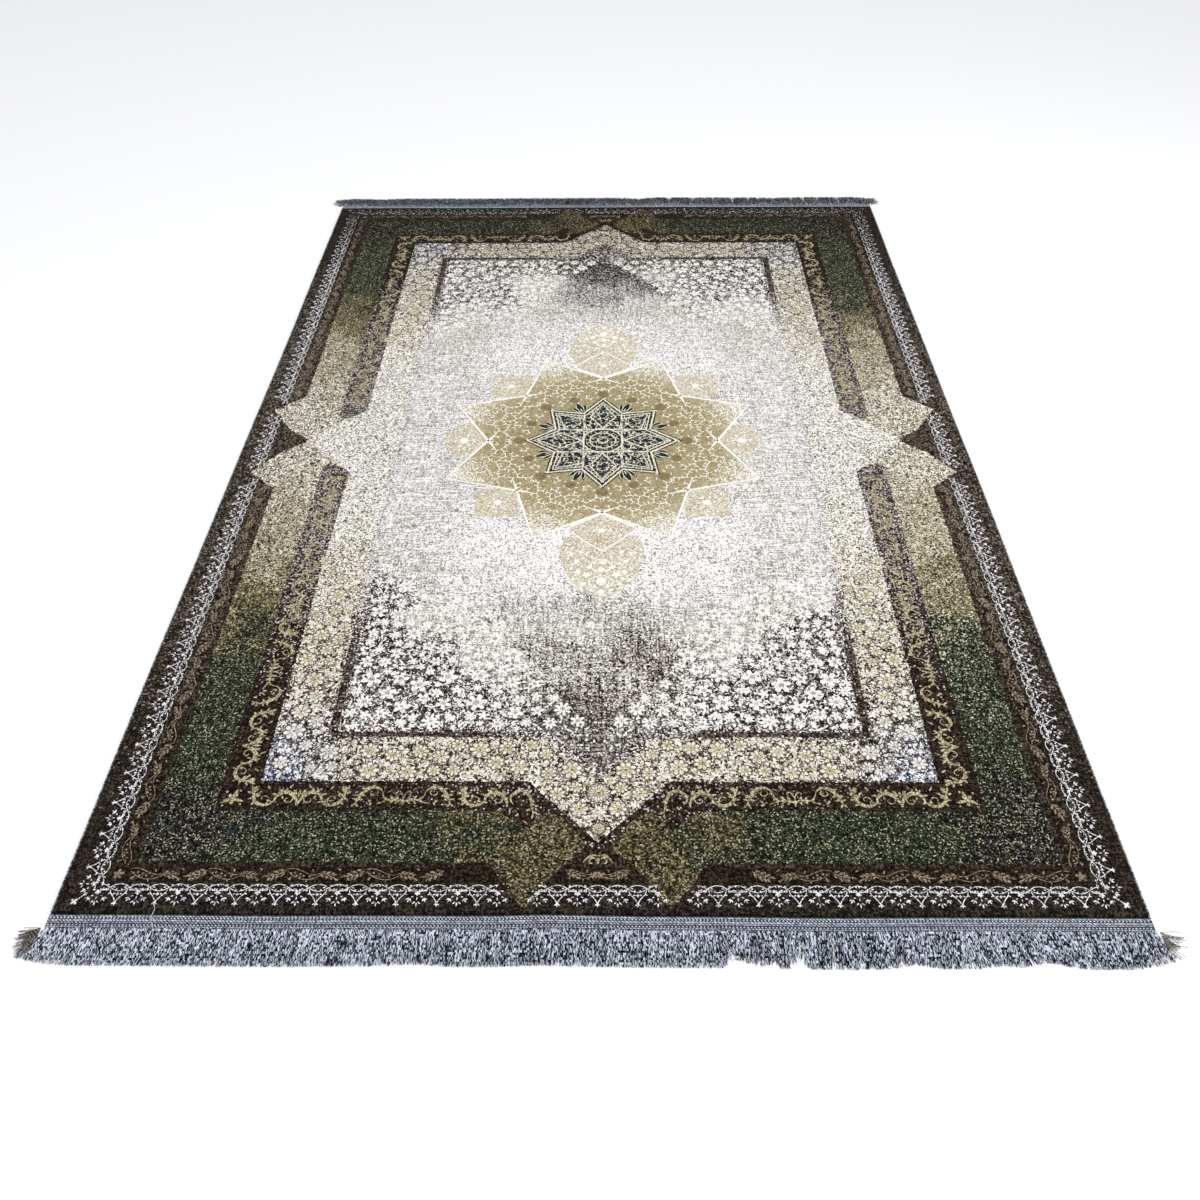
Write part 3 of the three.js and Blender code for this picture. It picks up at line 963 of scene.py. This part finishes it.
def high_scroll():
    """Half of a pair whose scrolls arch inwards, on each side of spreading leaves."""
    part = Relief()
    part.line([(0, 15), (8, 10), (20, 8), (34, 10)], 7.0, ends=0.3)
    part.line([(1, 12), (1, 0), (8, -12), (15, -8), (11, -2)], 3.0)
    part.line([(33, 9), (40, 0), (44, -14)], 2.8)
    part.line([(43, -12), (55, -22), (71, -20), (83, -8), (90, 6), (95, 20)], 9.5, ends=0.12)
    part.line([(56, -17), (52, -8), (60, -2), (67, -7), (64, -13)], 3.0)
    part.put(leaf, [
        (70, 8, 130, 13, 4.6), (40, 14, 20, 13, 4.6), (60, 14, 60, 12, 4.4), (8, 9, 55, 13, 6),
        (9, 9, -62, 13, 6), (18, 8, 48, 13, 6), (19, 8, -50, 13, 6), (30, 9, 25, 13, 6),
        (30, 9, -30, 13, 6), (76, -16, -20, 12, 6), (87, -2, 0, 12, 6), (92, 9, -20, 11, 5.5),
        (84, -5, 150, 12, 6), (90, 7, 170, 12, 6), (94, 17, 48, 12, 5.5), (94, 17, 125, 12, 5.5)])
    return part


def gold_scrolls():
    """The gold scrolls of the brown band, and the palmettes past its points."""
    gold = Relief()
    low, high = low_scroll(), high_scroll()
    for half, tip, end, side, count in ((low, -90, 597, 1108, 3), (high, 90, 388, 899, 2)):
        pair = half.copies(BOTH_SIDES)
        pair.put(leaf, [(0, 4, tip, 21, 7)])
        sides = [side - 2 * SCROLL_PERIOD * k for k in range(count)]
        gold.lay(pair, band_spots(SCROLL_MIDDLE, [end], sides))
    gold.lay(low, band_spots(SCROLL_MIDDLE, [179]))
    # The last scroll before a point of the cream band runs down along it
    arm = Relief()
    arm.line([(18, 20), (26, 4), (14, -12), (0, -14), (-12, -2), (-18, 20), (-22, 44)], 8.5,
             ends=0.15)
    arm.put(leaf, [(-10, -6, -120, 14, 6), (-14, 10, 160, 13, 6), (-20, 30, 20, 14, 6),
                   (-21, 36, 150, 13, 6), (8, -14, -80, 12, 6), (-22, 42, 80, 13, 6)])
    gold.lay(arm, band_spots(SCROLL_MIDDLE, [150]))
    corner = Relief()
    corner.put(bloom, [(0, 0, 15, 5, 0.36)])
    corner.put(leaf, [(0, 0, turn, 26, 8, 3) for turn in (20, 160, 250)])
    corner.put(circle, [(17, 16, 3), (-18, 14, 3), (14, -17, 3), (-12, -20, 3)])
    gold.lay(corner, [(side * 728, end * 1243, 0 if end > 0 else 180, side * end < 0)
                      for side in (-1, 1) for end in (-1, 1)])
    palm = Relief()
    palm.line([(0, 14), (8, 6), (16, 10), (15, 18), (9, 17)], 4.2)
    palm.line([(0, 2), (10, 0), (20, 6), (28, 16)], 5.0)
    palm.put(leaf, [(8, 1, 40, 12, 5)])
    palmette = palm.copies(BOTH_SIDES)
    palmette.put(leaf, [(0, 4, 90, 17, 8)])
    gold.lay(palmette, band_spots((0, 1372), [0]))
    gold.piece("gold_scrolls", motif_pile("old_gold_pile", 23.0, "554b37 8a7f60 aca17e d4cbab"))


# The cream band and the field's corners

def rosette(r, turn):
    """A full flower: a scalloped rim, an inner ring of petals with dark veins between, and a
    small eye."""
    part = Relief()
    rim = bloom(0, 0, r, 8, 0.68, turn)
    part.patch(rim)
    part.ring(rim, 2.4, 2)
    part.patch(bloom(0, 0, r * 0.62, 6, 0.6, turn + 15), 1)
    vein = Relief()
    vein.stroke([(r * 0.3, 0), (r * 0.74, 0)], r * 0.05 + 0.5, 2)
    part.lay(vein, around(8, turn + 22.5))
    part.patch(bloom(0, 0, r * 0.3, 5, 0.6, turn), 1)
    part.patch(circle(0, 0, r * 0.13), 2)
    return part


def cream_flowers():
    """The full flowers and leaves of the cream band."""
    rng = random.Random(5)

    # The band's limits across and along the rug, and where the slants of its points end
    out_x, out_y, out_point = 678, 1196, 1338
    in_x, in_y, in_point = 570, 1086, 1192

    def in_band(x, y, r):
        inside = (x < out_x - r and y < out_y - r) or x * 1.03 + y < out_point - 1.4 * r
        return inside and (x > in_x + r or y > in_y + r) and x * 1.02 + y > in_point + 1.2 * r

    def big(x, y, r):
        return in_band(x, y, r * 0.92) and y > 300 and x > r * 0.9

    taken = [(0.0, 1312.0, 16.0), (0.0, 1227.0, 26.0), (38.0, 1266.0, 21.0)]
    spots = taken + scatter(rng, 5000, (0, 300), (680, 1340), (15, 27), 1.0, big, taken)
    quarter = Relief()
    for x, y, r in spots:
        quarter.lay(rosette(r * 0.95, rng.uniform(0, 45)), [(x, y)])
    for x, y, r in scatter(rng, 9000, (0, 120), (680, 1340), (5.4, 7.0), 1.0, in_band, spots):
        turn = rng.uniform(0, 360)
        if rng.random() < 0.36:
            quarter.patch(bloom(x, y, r * 1.5, 5, 0.42, turn))
        else:
            c, s = polar(1, turn)
            quarter.patch(leaf(x - 8 * c, y - 8 * s, turn, r * 2.9, 7.0, rng.uniform(-4, 4)),
                          0 if rng.random() < 0.72 else 1)
    quarter.copies(FOUR_WAYS).piece(
        "cream_band_flowers",
        petal_pile("cream_petal_pile", 24.0, "aaa28f d0c9b6 e4decd faf8f1",
                   "a29d9a d3d0d0 ebe9e8 ffffff"),
        petal_pile("gold_petal_pile", 25.0, "8c8163 b5a983 cbc09a ddd5bb",
                   "979088 c2bcb5 d6d2cd f0efee"),
        motif_pile("brown_eye_pile", 26.0, "332a22 5b5040 85795f"))


def corner_flowers():
    """White flowers that fill the corners of the field and fade into its ends."""
    rng = random.Random(8)

    # The field's limits across and along it, and where the slant of its point ends
    field_x, field_y, field_point = 546, 1066, 1172

    def in_corner(x, y, r):
        wavy_slant = 1060 + 60 * math.sin(x / 60)
        return x + y - wavy_slant > rng.uniform(-60, 60) and x + r < field_x and y + r < field_y

    def in_point(x, y, r):
        return y > 1010 and x * 1.05 + y < field_point - r and rng.random() < 0.75

    spots = scatter(rng, 4000, (40, 500), (548, field_y), (12, 26), 0.98, in_corner)
    quarter = Relief()
    for x, y, r in spots:
        petals = rng.choice((5, 5, 6, 8))
        turn = rng.uniform(0, 72)
        quarter.patch(bloom(x, y, r * 0.98, petals, 0.4, turn))
        if r > 15:
            quarter.patch(bloom(x, y, r * 0.36, petals, 0.5, turn), 1)
    small = scatter(rng, 6500, (30, 480), (field_x, field_y), (5.0, 6.4), 1.12, in_corner, spots)
    small += scatter(rng, 45, (0, 1040), (130, 1170), (2.6, 3.2), 1.9, in_point, small)
    for x, y, r in small:
        turn = rng.uniform(0, 360)
        if rng.random() < 0.3:
            quarter.patch(bloom(x, y, r * 1.4, 5, 0.4, turn))
        else:
            quarter.patch(leaf(x, y, turn, r * 3.0, 6.2, rng.uniform(-5, 5)))
            quarter.patch(leaf(x, y, turn + 150, r * 1.9, 5.0))
    quarter.copies(FOUR_WAYS).piece(
        "corner_flowers",
        motif_pile("white_corner_pile", 27.0, "bdb6ac e7e3dc f9f7f2 fffefb", 0.16),
        motif_pile("grey_eye_pile", 28.0, "7b7068 a79e95 d2ccc6"))


# The medallion

def curls():
    """Curled tendrils round a ring of khaki discs, in one half of each sector."""
    rng = random.Random(3)
    tendril = Relief()
    tendril.line([(-11, -5), (-8, 5), (1, 9), (8, 4), (7, -4), (1, -5)], 2.4, ends=0.75)
    tendril.put(leaf, [(-8, 4, 130, 8, 4.2), (2, 8, 70, 8, 4.2), (8, 0, -30, 8, 4.2)])

    # The tendrils keep between the inner star and the big star's notches
    inner, outer = 206, 318

    def in_half(x, y, r):
        edge = y * math.sin(math.pi / 8) - x * math.cos(math.pi / 8)
        return x > 0.6 * r and edge > 0.6 * r and inner < math.hypot(x, y) - 0.4 * r < outer

    discs = [(0.0, 233.0, 19.0), (83.0, 201.0, 17.0)]
    part = Relief()
    for x, y, _ in scatter(rng, 3000, (0, 190), (170, 335), (12, 14), 1.02, in_half, discs):
        part.lay(tendril, [(x, y, rng.uniform(0, 360), rng.random() < 0.5)])
    for _ in range(42):
        x, y = rng.uniform(90, 178), rng.uniform(280, 425)
        if abs(math.degrees(math.atan2(x, y)) - 22.5) < (450 - math.hypot(x, y)) * 0.1:
            part.put(leaf, [(x, y, rng.uniform(0, 360), rng.uniform(6, 10), 4.0)])
    return part


def pendant_spray():
    """The flowers and leaves that fill a pendant."""
    half = Relief()
    half.line([(0, 500), (14, 506), (26, 522), (20, 540), (8, 548)], 4.0)
    half.line([(0, 560), (16, 566), (30, 580), (22, 598), (8, 606)], 3.6)
    half.put(bloom, [(x, y, r, 5, 0.42) for x, y, r in (
        (36, 558, 12), (56, 548, 9), (30, 530, 8), (60, 510, 8), (44, 590, 8), (24, 612, 6),
        (74, 480, 7), (50, 474, 7))])
    half.put(leaf, [(x, y, turn, 14, 6) for x, y, turn in (
        (70, 530, 60), (66, 500, 120), (40, 495, 30), (84, 470, 90), (20, 486, 60),
        (52, 600, 120), (14, 592, 80), (64, 570, 40))])
    made = half.copies(BOTH_SIDES)
    made.put(bloom, [(0, y, r, 8, 0.55) for y, r in ((580, 15), (618, 9), (512, 8), (540, 10))])
    return made


def medallion():
    """The medallion's white outlines, its curled tracery and the sprays of its pendants."""
    drawing = curls().copies(BOTH_SIDES).copies(around(8))
    # Half of the big star's outline at one of its notches, where it is widest and runs inwards
    notch = Relief()
    notch.stroke([(-44, 294), (0, 319), (87, 369), (174, 420)], [2.0, 8.0, 6.0, 3.0])
    drawing.lay(notch.copies(BOTH_SIDES), around(8))
    sixths = range(0, 360, 60)
    disc = Relief()
    disc.patch(circle(0, 0, 17, 12), 1)
    disc.put(leaf, [(*polar(20, turn), turn + 70, 11, 4.4) for turn in sixths])
    for radius, start, size in ((233, 90, 1.0), (218, 112.5, 0.88)):
        drawing.lay(disc, [(*polar(radius, start + 45 * k), start + 45 * k, False, size)
                           for k in range(8)])
    drawing.lay(pendant_spray(), around(2))
    collar = Relief()
    collar.ring(COLLAR, 5.0)
    drawing.lay(collar, around(2))
    small = Relief()
    small.put(bloom, [(0, 0, 13, 8, 0.55)])
    small.put(leaf, [(*polar(15, turn), turn + 20, 12, 5) for turn in sixths])
    drawing.lay(small, [(x, y) for x in (-272, 272) for y in (-277, 277)])
    drawing.lay(small, [(x, 0, 0, False, 1.2) for x in (-386, 386)])
    drawing.lay(small, [(0, y, 0, False, 0.9) for y in (-392, 392)])
    drawing.copies([(0, MIDDLE_Y)]).piece(
        "medallion_tracery",
        motif_pile("ivory_tracery_pile", 29.0, "e2dcc8 f4f0e4 fdfcf8 ffffff"),
        motif_pile("khaki_disc_pile", 30.0, "6a5b42 817252 958665"))


def star_ray():
    """A kite that reaches into a point of the star, with a flower in it."""
    part = Relief()
    for low, high, wide, thick, kind in ((60, 180, 36, 4.6, 2), (71, 168, 26, 3.0, 0)):
        part.ring([(0, low), (wide, 116), (0, high), (-wide, 116)], thick, kind)
    half = Relief()
    half.put(circle, [(12, 104, 4.2), (13, 134, 3.6)], 2)
    half.put(leaf, [(7, 96, 40, 12, 5), (8, 150, -50, 12, 5)])
    part.lay(half, BOTH_SIDES)
    part.put(leaf, [(0, 146, 90, 20, 10), (0, 84, 90, 20, 10)], 1)
    part.put(bloom, [(0, 122, 10, 4, 0.35)], 1)
    return part


def star_gap():
    """A striped bud between two points, over small flowers."""
    half = Relief()
    half.put(bloom, [(14, 92, 6, 4, 0.4)], 1)
    half.put(circle, [(9, 82, 3.6), (22, 118, 3.8)], 2)
    half.put(leaf, [(12, 112, 60, 12, 5.5), (9, 150, 66, 44, 14, 4)])
    half.line([(4, 152), (8, 164), (9, 178), (6, 190)], 2.8, 2, 0.6)
    half.line([(9, 152), (17, 162), (21, 174), (20, 186)], 2.8, 2, 0.6)
    made = half.copies(BOTH_SIDES)
    made.put(leaf, [(0, 148, 90, 52, 26)])
    made.put(leaf, [(0, 60, 90, 20, 11), (0, 126, 90, 14, 11), (0, 100, 90, 20, 11),
                    (0, 174, 90, 20, 8)], 1)
    made.put(circle, [(0, 92, 4.2)], 2)
    made.put(leaf, [(0, 150, 90, 24, 4)], 2)
    return made


def inner_star():
    """The dark blue inner star: its double outline, straps, kites, buds and rosette."""
    drawing = Relief()
    for outer, inner, thick, kind in ((217, 150, 5.0, 0), (209, 144, 7.0, 2),
                                      (199, 137, 4.5, 0), (190, 131, 4.5, 2)):
        drawing.ring(star(outer, inner), thick, kind)
    strap = Relief()
    strap.stroke([(53, -128), (53, 128)], 4.6, 2)
    strap.stroke([(47.5, -122), (47.5, 122)], 2.6)
    drawing.lay(strap, [(0, 0, turn) for turn in (0, 180, 90, 270)])
    drawing.lay(star_ray(), around(8))
    drawing.lay(star_gap(), around(8, 22.5))
    for r, thick, kind in ((56, 4.0, 2), (49, 3.0, 0), (36, 3.6, 2), (14, 2.8, 2)):
        drawing.ring(circle(0, 0, r, 24), thick, kind)
    petal = Relief()
    petal.put(leaf, [(0, 17, 90, 17, 8)])
    petal.put(circle, [(0, 42, 3.2)], 1)
    drawing.lay(petal, around(8))
    drawing.put(bloom, [(0, 0, 9, 4, 0.4)], 1)
    drawing.copies([(0, MIDDLE_Y)]).piece(
        "inner_star",
        motif_pile("charcoal_star_pile", 32.0, "0c0e10 1b1e1e 3a3d38", scale=0.56),
        motif_pile("indigo_star_pile", 33.0, "0b0e1c 17203c 36425e", scale=0.56),
        motif_pile("cream_star_pile", 31.0, "b5af95 e6e1c9 fffdf0", scale=0.56))


# The ends and the sides. The tape's section goes from the cloth outwards: distance, height and
# the kind of the strip after it, which is plain, dark or navy
TAPE = [
    (0.3, 0.2, 2), (0.3, 3.2, 2), (1.6, 3.8, 2), (3.0, 3.2, 0), (4.4, 3.9, 0), (6.0, 3.3, 1),
    (8.5, 3.4, 1), (11.0, 3.3, 0), (12.6, 4.0, 0), (15.0, 4.1, 2), (16.8, 3.9, 0), (18.2, 3.2, 1),
    (20.2, 3.2, 1), (22.5, 3.4, 1), (25.0, 3.7, 0), (26.6, 3.2, 1), (28.2, 3.3, 1),
    (30.2, 3.4, 0), (31.3, 2.4, 0), (31.3, 0.2, 0),
]
STITCH_ROWS = (8.5, 22.5)
STITCH_STEP = 6.5
# Worn places of each fringe: place across the rug, half width, share lost and lean
NEAR_WEAR = [(236, 17, 0.5, 8), (262, 18, 0.2, -8), (300, 16, 0.24, 8), (356, 15, 0.5, -9),
             (560, 40, 0.12, -6), (700, 30, 0.08, 7), (780, 50, 0.16, 6), (-330, 60, 0.06, 3)]
FAR_WEAR = [(-850, 60, 0.1, -4), (120, 50, 0.15, 6), (640, 70, 0.08, -4)]


def header_tapes():
    """Ribbed tapes with their two rows of chain stitches."""
    materials = [
        tape_material("blue_grey_tape", "434751 808694 a8aebc d8dfec"),
        tape_material("dark_tape_stripe", "0c0d10 202229 454953"),
        tape_material("navy_tape_line", "14161f 2e3240 636978"),
        tape_material("white_chain_stitch", "a2a8b2 dce0e6 ffffff"),
    ]
    stitch = Relief()
    stitch.patch([(-2.2, 0), (-1.4, -1.2), (1.2, -1.2), (2.2, 0), (1.2, 1.2), (-1.4, 1.2)], 3, 0.6)
    stitch_low, stitch_high = 3.0, 4.6
    xs = np.linspace(-HALF_WIDTH, HALF_WIDTH, 101)
    places = np.arange(4 - HALF_WIDTH, HALF_WIDTH - 3, STITCH_STEP)
    for end, name in ((-1, "near"), (1, "far")):
        points, faces = loft([[(x, end * (y + v), z) for v, z, _ in TAPE]
                              for x, y in zip(xs, rim_line(xs, end))], end)
        rows = stitch.copies([(x, end * (y + row)) for row in STITCH_ROWS
                              for x, y in zip(places, rim_line(places, end))])
        at = len(points)
        points += [(x, y, stitch_high if level else stitch_low) for x, y, level in rows.points]
        faces += [tuple(at + i for i in f) for f in rows.faces]
        kinds = [k for _ in xs[1:] for _, _, k in TAPE] + [0, 0] + rows.kinds
        make_piece(f"header_{name}", points, faces, materials,
                   (f"fringe_{name}",), kinds)


def fringe_yarns(end, name, wear, seed):
    """The dense glossy yarns of one fringe, with its worn places. The corners' yarns splay."""
    sizes = bpy.context.scene.rug_sizes
    count = sizes.yarns
    t = np.linspace(0, 1, 5)
    rng = np.random.default_rng(seed)
    reach = HALF_WIDTH - 1
    x = -reach + 2 * reach * (rng.permutation(count) + rng.random(count)) / count
    layer = rng.integers(0, 3, count)
    lean = rng.normal(0, 3.4, count) + 7 * np.sin(x / 61 + seed) * np.sin(x / 173)
    lean += np.interp(x, [-HALF_WIDTH, -500, 0, HALF_WIDTH], [-18, -9, 0, 5])
    share = 1 - 0.2 * rng.random(count) ** 2
    for place, half, lost, tilt in wear:
        near = np.exp(-((x - place) / half) ** 2 * 1.6)
        share *= 1 - lost * near
        lean += tilt * near
    # Yarns clump towards the nearest knot, most of all on the right
    knots = np.sort(rng.uniform(-HALF_WIDTH, HALF_WIDTH, 64))
    nearest = knots[np.abs(x[:, None] - knots).argmin(1)]
    pull = np.interp(x, [-HALF_WIDTH, 150, 230, 600, HALF_WIDTH], [0.1, 0.14, 0.6, 0.48, 0.55])
    pull = np.where(layer == 0, 0.2 * pull, pull)
    farthest = 16
    lean += (nearest - x).clip(-farthest, farthest) * pull
    corner_zone, splay = 75, 24
    corner = np.clip(1 - (HALF_WIDTH - np.abs(x)) / corner_zone, 0, 1) ** 2
    lean += np.sign(x) * splay * corner
    length = sizes.fringe_length / MM * share * (1 - 0.24 * corner)
    curl = rng.normal(0, 2.6, count) + rng.normal(0, 2.2, count) * (pull > 0.3)
    phase = rng.uniform(0, 6.3, count)
    side = x[:, None] + lean[:, None] * t ** 1.25
    side += curl[:, None] * np.sin(phase[:, None] + 8 * t) * t ** 0.7
    # The yarns start under the tape's outer edge, in three layers over each other
    root, hidden = 28, 3
    out = rim_line(x, end)[:, None] + root + (length[:, None] + hidden) * t
    rise = (0.9 + 1.15 * layer)[:, None]
    high = rise + (1.3 * np.sin(math.pi * t ** 0.8) - 0.25 * rise * t)
    radii = sizes.yarn_width / MM / 2 * np.interp(t, [0, 0.7, 1], [1, 1, 0.55])
    points, faces = strands(np.stack([side, end * out, high], 2), np.tile(radii, (count, 1)))

    # Some yarns are dark. More of them are dark in the lowest layer on the right, as painted shadow
    # in the gaps between the clumps
    dark = 0.2 + np.where(layer == 0, np.interp(x, [150, 230, 950], [0.35, 0.75, 0.7]), 0)
    shade = np.where(rng.random(count) < dark, rng.uniform(0, 0.28, count),
                     rng.uniform(0.42, 1.0, count))
    bunch = 0.2 * np.sin(x / 23 + seed) * np.sin(x / 7.3) + 0.08 * np.sin(x / 90)
    # Painted highlight near each yarn's root and painted shade towards its tip; painted shade also
    # makes the far fringe's tips almost black
    root_highlight_tip_shade = np.interp(t, [0, 0.2, 0.5, 1], [0.18, 0.12, 0.0, -0.08])
    tone = (shade + bunch)[:, None] + root_highlight_tip_shade - (0 if end < 0 else 0.4 + 2.6 * t)
    # Painted glints: light and dark dashes from point to point along each yarn
    tone += rng.normal(0, 0.36, (count, len(t)))
    piece = make_piece(f"fringe_yarns_{name}", points, faces, [yarn_material(f"glossy_yarn_{name}")],
                       (f"fringe_{name}",))
    tones = piece.data.attributes.new("tone", "FLOAT", "POINT")
    tones.data.foreach_set("value", np.repeat(tone.ravel(), 3).clip(0, 1))


def loose_ends():
    """The loose thread on the near end, and the frayed tufts of the four corners."""
    rng = np.random.default_rng(12)
    t = np.linspace(0, 1, 22)
    way = np.stack([-816 + 19 * t + 5 * np.sin(9 * t) * (1 - t), -1478 - 66 * t,
                    10.4 - 4.4 * (t > 0.42) + 0.4 * np.sin(30 * t)], 1)
    points, faces = strands(way[None], np.full((1, len(t)), 0.7), 6)
    pale = tape_material("pale_loose_thread", "8e8f90 d9dadb")
    make_piece("loose_thread", points, faces, [pale])

    # The photo's near left corner is the most frayed one
    t = np.linspace(0, 1, 5)
    paths = []
    for end, side, count in ((-1, -1, 110), (-1, 1, 30), (1, -1, 30), (1, 1, 30)):
        for _ in range(count):
            turn = math.radians(rng.uniform(0, 80))
            far = rng.uniform(18, 38)
            x = 1008 + far * math.cos(turn) * t + rng.normal(0, 2.0) * np.sin(5 * t)
            y = rng.uniform(1524, 1552) + far * math.sin(turn) * t
            z = 1.5 + rng.uniform(0, 5.5) * np.sin(2.4 * t)
            paths.append(np.stack([side * x, end * y, z], 1))
    points, faces = strands(np.array(paths), np.full((len(paths), len(t)), 0.55))
    frayed = tape_material("frayed_brown_grey_yarn", "2c2823 655e52 a59d90")
    make_piece("corner_tufts", points, faces, [frayed])


def overcast_sides():
    """Close grey stitches over both long sides, every other one a little thinner."""
    wool = overcast_material()
    step, width, gap, least = 1.5, 2.3, 2.6, 980
    for side, name in ((-1, "left"), (1, "right")):
        low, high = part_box(f"overcast_{name}")
        ys = np.arange(low.y / MM, high.y / MM, step)
        height = (high.z - low.z) / MM / 2
        sections = []
        for k, (y, x) in enumerate(zip(ys, rim_line(ys, side, 1, least))):
            size = 1.0 if k % 2 else 0.84
            sections.append([(side * (x + gap + width * size * c), y, height * (1 + size * s))
                             for c, s in (polar(1, 60 * i) for i in range(6, 0, -1))])
        points, faces = loft(sections, -side)
        make_piece(f"overcast_stitches_{name}", points, faces, [wool],
                   (f"overcast_{name}",))


# The add-on

class RUG_OT_stage(bpy.types.Operator):
    """Build the floor, the soft light and the camera"""

    bl_idname = "rug.stage"
    bl_label = "Stage"

    def execute(self, context):
        stage = context.scene.rug_stage
        bpy.ops.mesh.primitive_plane_add(size=60, location=(0, 0, 0))
        floor = context.object
        floor.name = "floor"
        made, tree, _ = new_material("pale_matt_floor")
        finished(tree, tuple(stage.floor), 0.8, 0.1)
        floor.data.materials.append(made)
        # The large light above, and two weaker ones: from behind on the left and from the right
        for place, turn, share, size in (
            ((0, -0.4, 4.4), (0, 0, 0), 1.0, 4.5), ((-3.5, -3.4, 3.2), (44, -36, 0), 0.35, 2.5),
            ((3.0, -0.5, 2.2), (0, 50, 0), 0.5, 1.6),
        ):
            bpy.ops.object.light_add(type="AREA", location=place,
                                     rotation=[math.radians(t) for t in turn])
            context.object.data.energy = stage.light * share
            context.object.data.size = size
        world = bpy.data.worlds.new("soft_sky")
        context.scene.world = world
        world.use_nodes = True
        world.node_tree.nodes.clear()
        sky = add(world.node_tree, "ShaderNodeBackground",
                  {"Color": colour("#f7f8fb"), "Strength": stage.sky})
        add(world.node_tree, "ShaderNodeOutputWorld", {0: sky})

        # The photo's view: a standing person's, 43 degrees down
        bpy.ops.object.camera_add(location=(0.0275, -2.5696, 1.8032))
        camera = context.object
        yaw, pitch, roll = -0.0156, 0.7560, -0.0103
        turn = (Matrix.Rotation(-yaw, 3, "Z") @ Matrix.Rotation(math.pi / 2 - pitch, 3, "X")
                @ Matrix.Rotation(roll, 3, "Z"))
        camera.rotation_euler = turn.to_euler()
        camera.data.sensor_width = 36.0
        camera.data.lens = 33.27
        camera.data.clip_end = 200.0
        context.scene.camera = camera
        context.scene.view_settings.view_transform = "Standard"
        return {"FINISHED"}


class RUG_OT_ground(bpy.types.Operator):
    """Build the cloth's slab, its top cut into the regions of the pattern"""

    bl_idname = "rug.ground"
    bl_label = "Pile ground"

    def execute(self, context):
        ground()
        return {"FINISHED"}


class RUG_OT_borders(bpy.types.Operator):
    """Build the white lace, the leaf vine and the gold scrolls"""

    bl_idname = "rug.borders"
    bl_label = "Borders"

    def execute(self, context):
        lace_border()
        leaf_vine()
        gold_scrolls()
        return {"FINISHED"}


class RUG_OT_flowers(bpy.types.Operator):
    """Build the flowers of the cream band and of the field's corners"""

    bl_idname = "rug.flowers"
    bl_label = "Flowers"

    def execute(self, context):
        cream_flowers()
        corner_flowers()
        return {"FINISHED"}


class RUG_OT_medallion(bpy.types.Operator):
    """Build the medallion's tracery and its inner star"""

    bl_idname = "rug.medallion"
    bl_label = "Medallion"

    def execute(self, context):
        medallion()
        inner_star()
        return {"FINISHED"}


class RUG_OT_ends(bpy.types.Operator):
    """Build the header tapes, the fringes, the loose thread and the corner tufts"""

    bl_idname = "rug.ends"
    bl_label = "Ends"

    def execute(self, context):
        header_tapes()
        fringe_yarns(-1, "near", NEAR_WEAR, 4)
        fringe_yarns(1, "far", FAR_WEAR, 7)
        loose_ends()
        return {"FINISHED"}


class RUG_OT_sides(bpy.types.Operator):
    """Build the overcast stitches of both long sides"""

    bl_idname = "rug.sides"
    bl_label = "Overcast sides"

    def execute(self, context):
        overcast_sides()
        return {"FINISHED"}


class RUG_PT_panel(bpy.types.Panel):
    """Lists the rug's pieces in the sidebar"""

    bl_label = "Rug"
    bl_idname = "RUG_PT_panel"
    bl_space_type = "VIEW_3D"
    bl_region_type = "UI"
    bl_category = "Rug"

    def draw(self, context):
        for group in (context.scene.rug_sizes, context.scene.rug_stage):
            for name in type(group).__annotations__:
                self.layout.prop(group, name)
        for operator in OPERATORS:
            self.layout.operator(operator.bl_idname)


OPERATORS = (RUG_OT_stage, RUG_OT_ground, RUG_OT_borders, RUG_OT_flowers, RUG_OT_medallion,
             RUG_OT_ends, RUG_OT_sides)
CLASSES = (RugSizes, RugStage, *OPERATORS, RUG_PT_panel)


def register():
    for made in CLASSES:
        bpy.utils.register_class(made)
    bpy.types.Scene.rug_sizes = PointerProperty(type=RugSizes)
    bpy.types.Scene.rug_stage = PointerProperty(type=RugStage)


def unregister():
    del bpy.types.Scene.rug_stage
    del bpy.types.Scene.rug_sizes
    for made in reversed(CLASSES):
        bpy.utils.unregister_class(made)


def main():
    register()
    for operator in OPERATORS:
        group, name = operator.bl_idname.split(".")
        getattr(getattr(bpy.ops, group), name)()


if __name__ == "__main__":
    main()
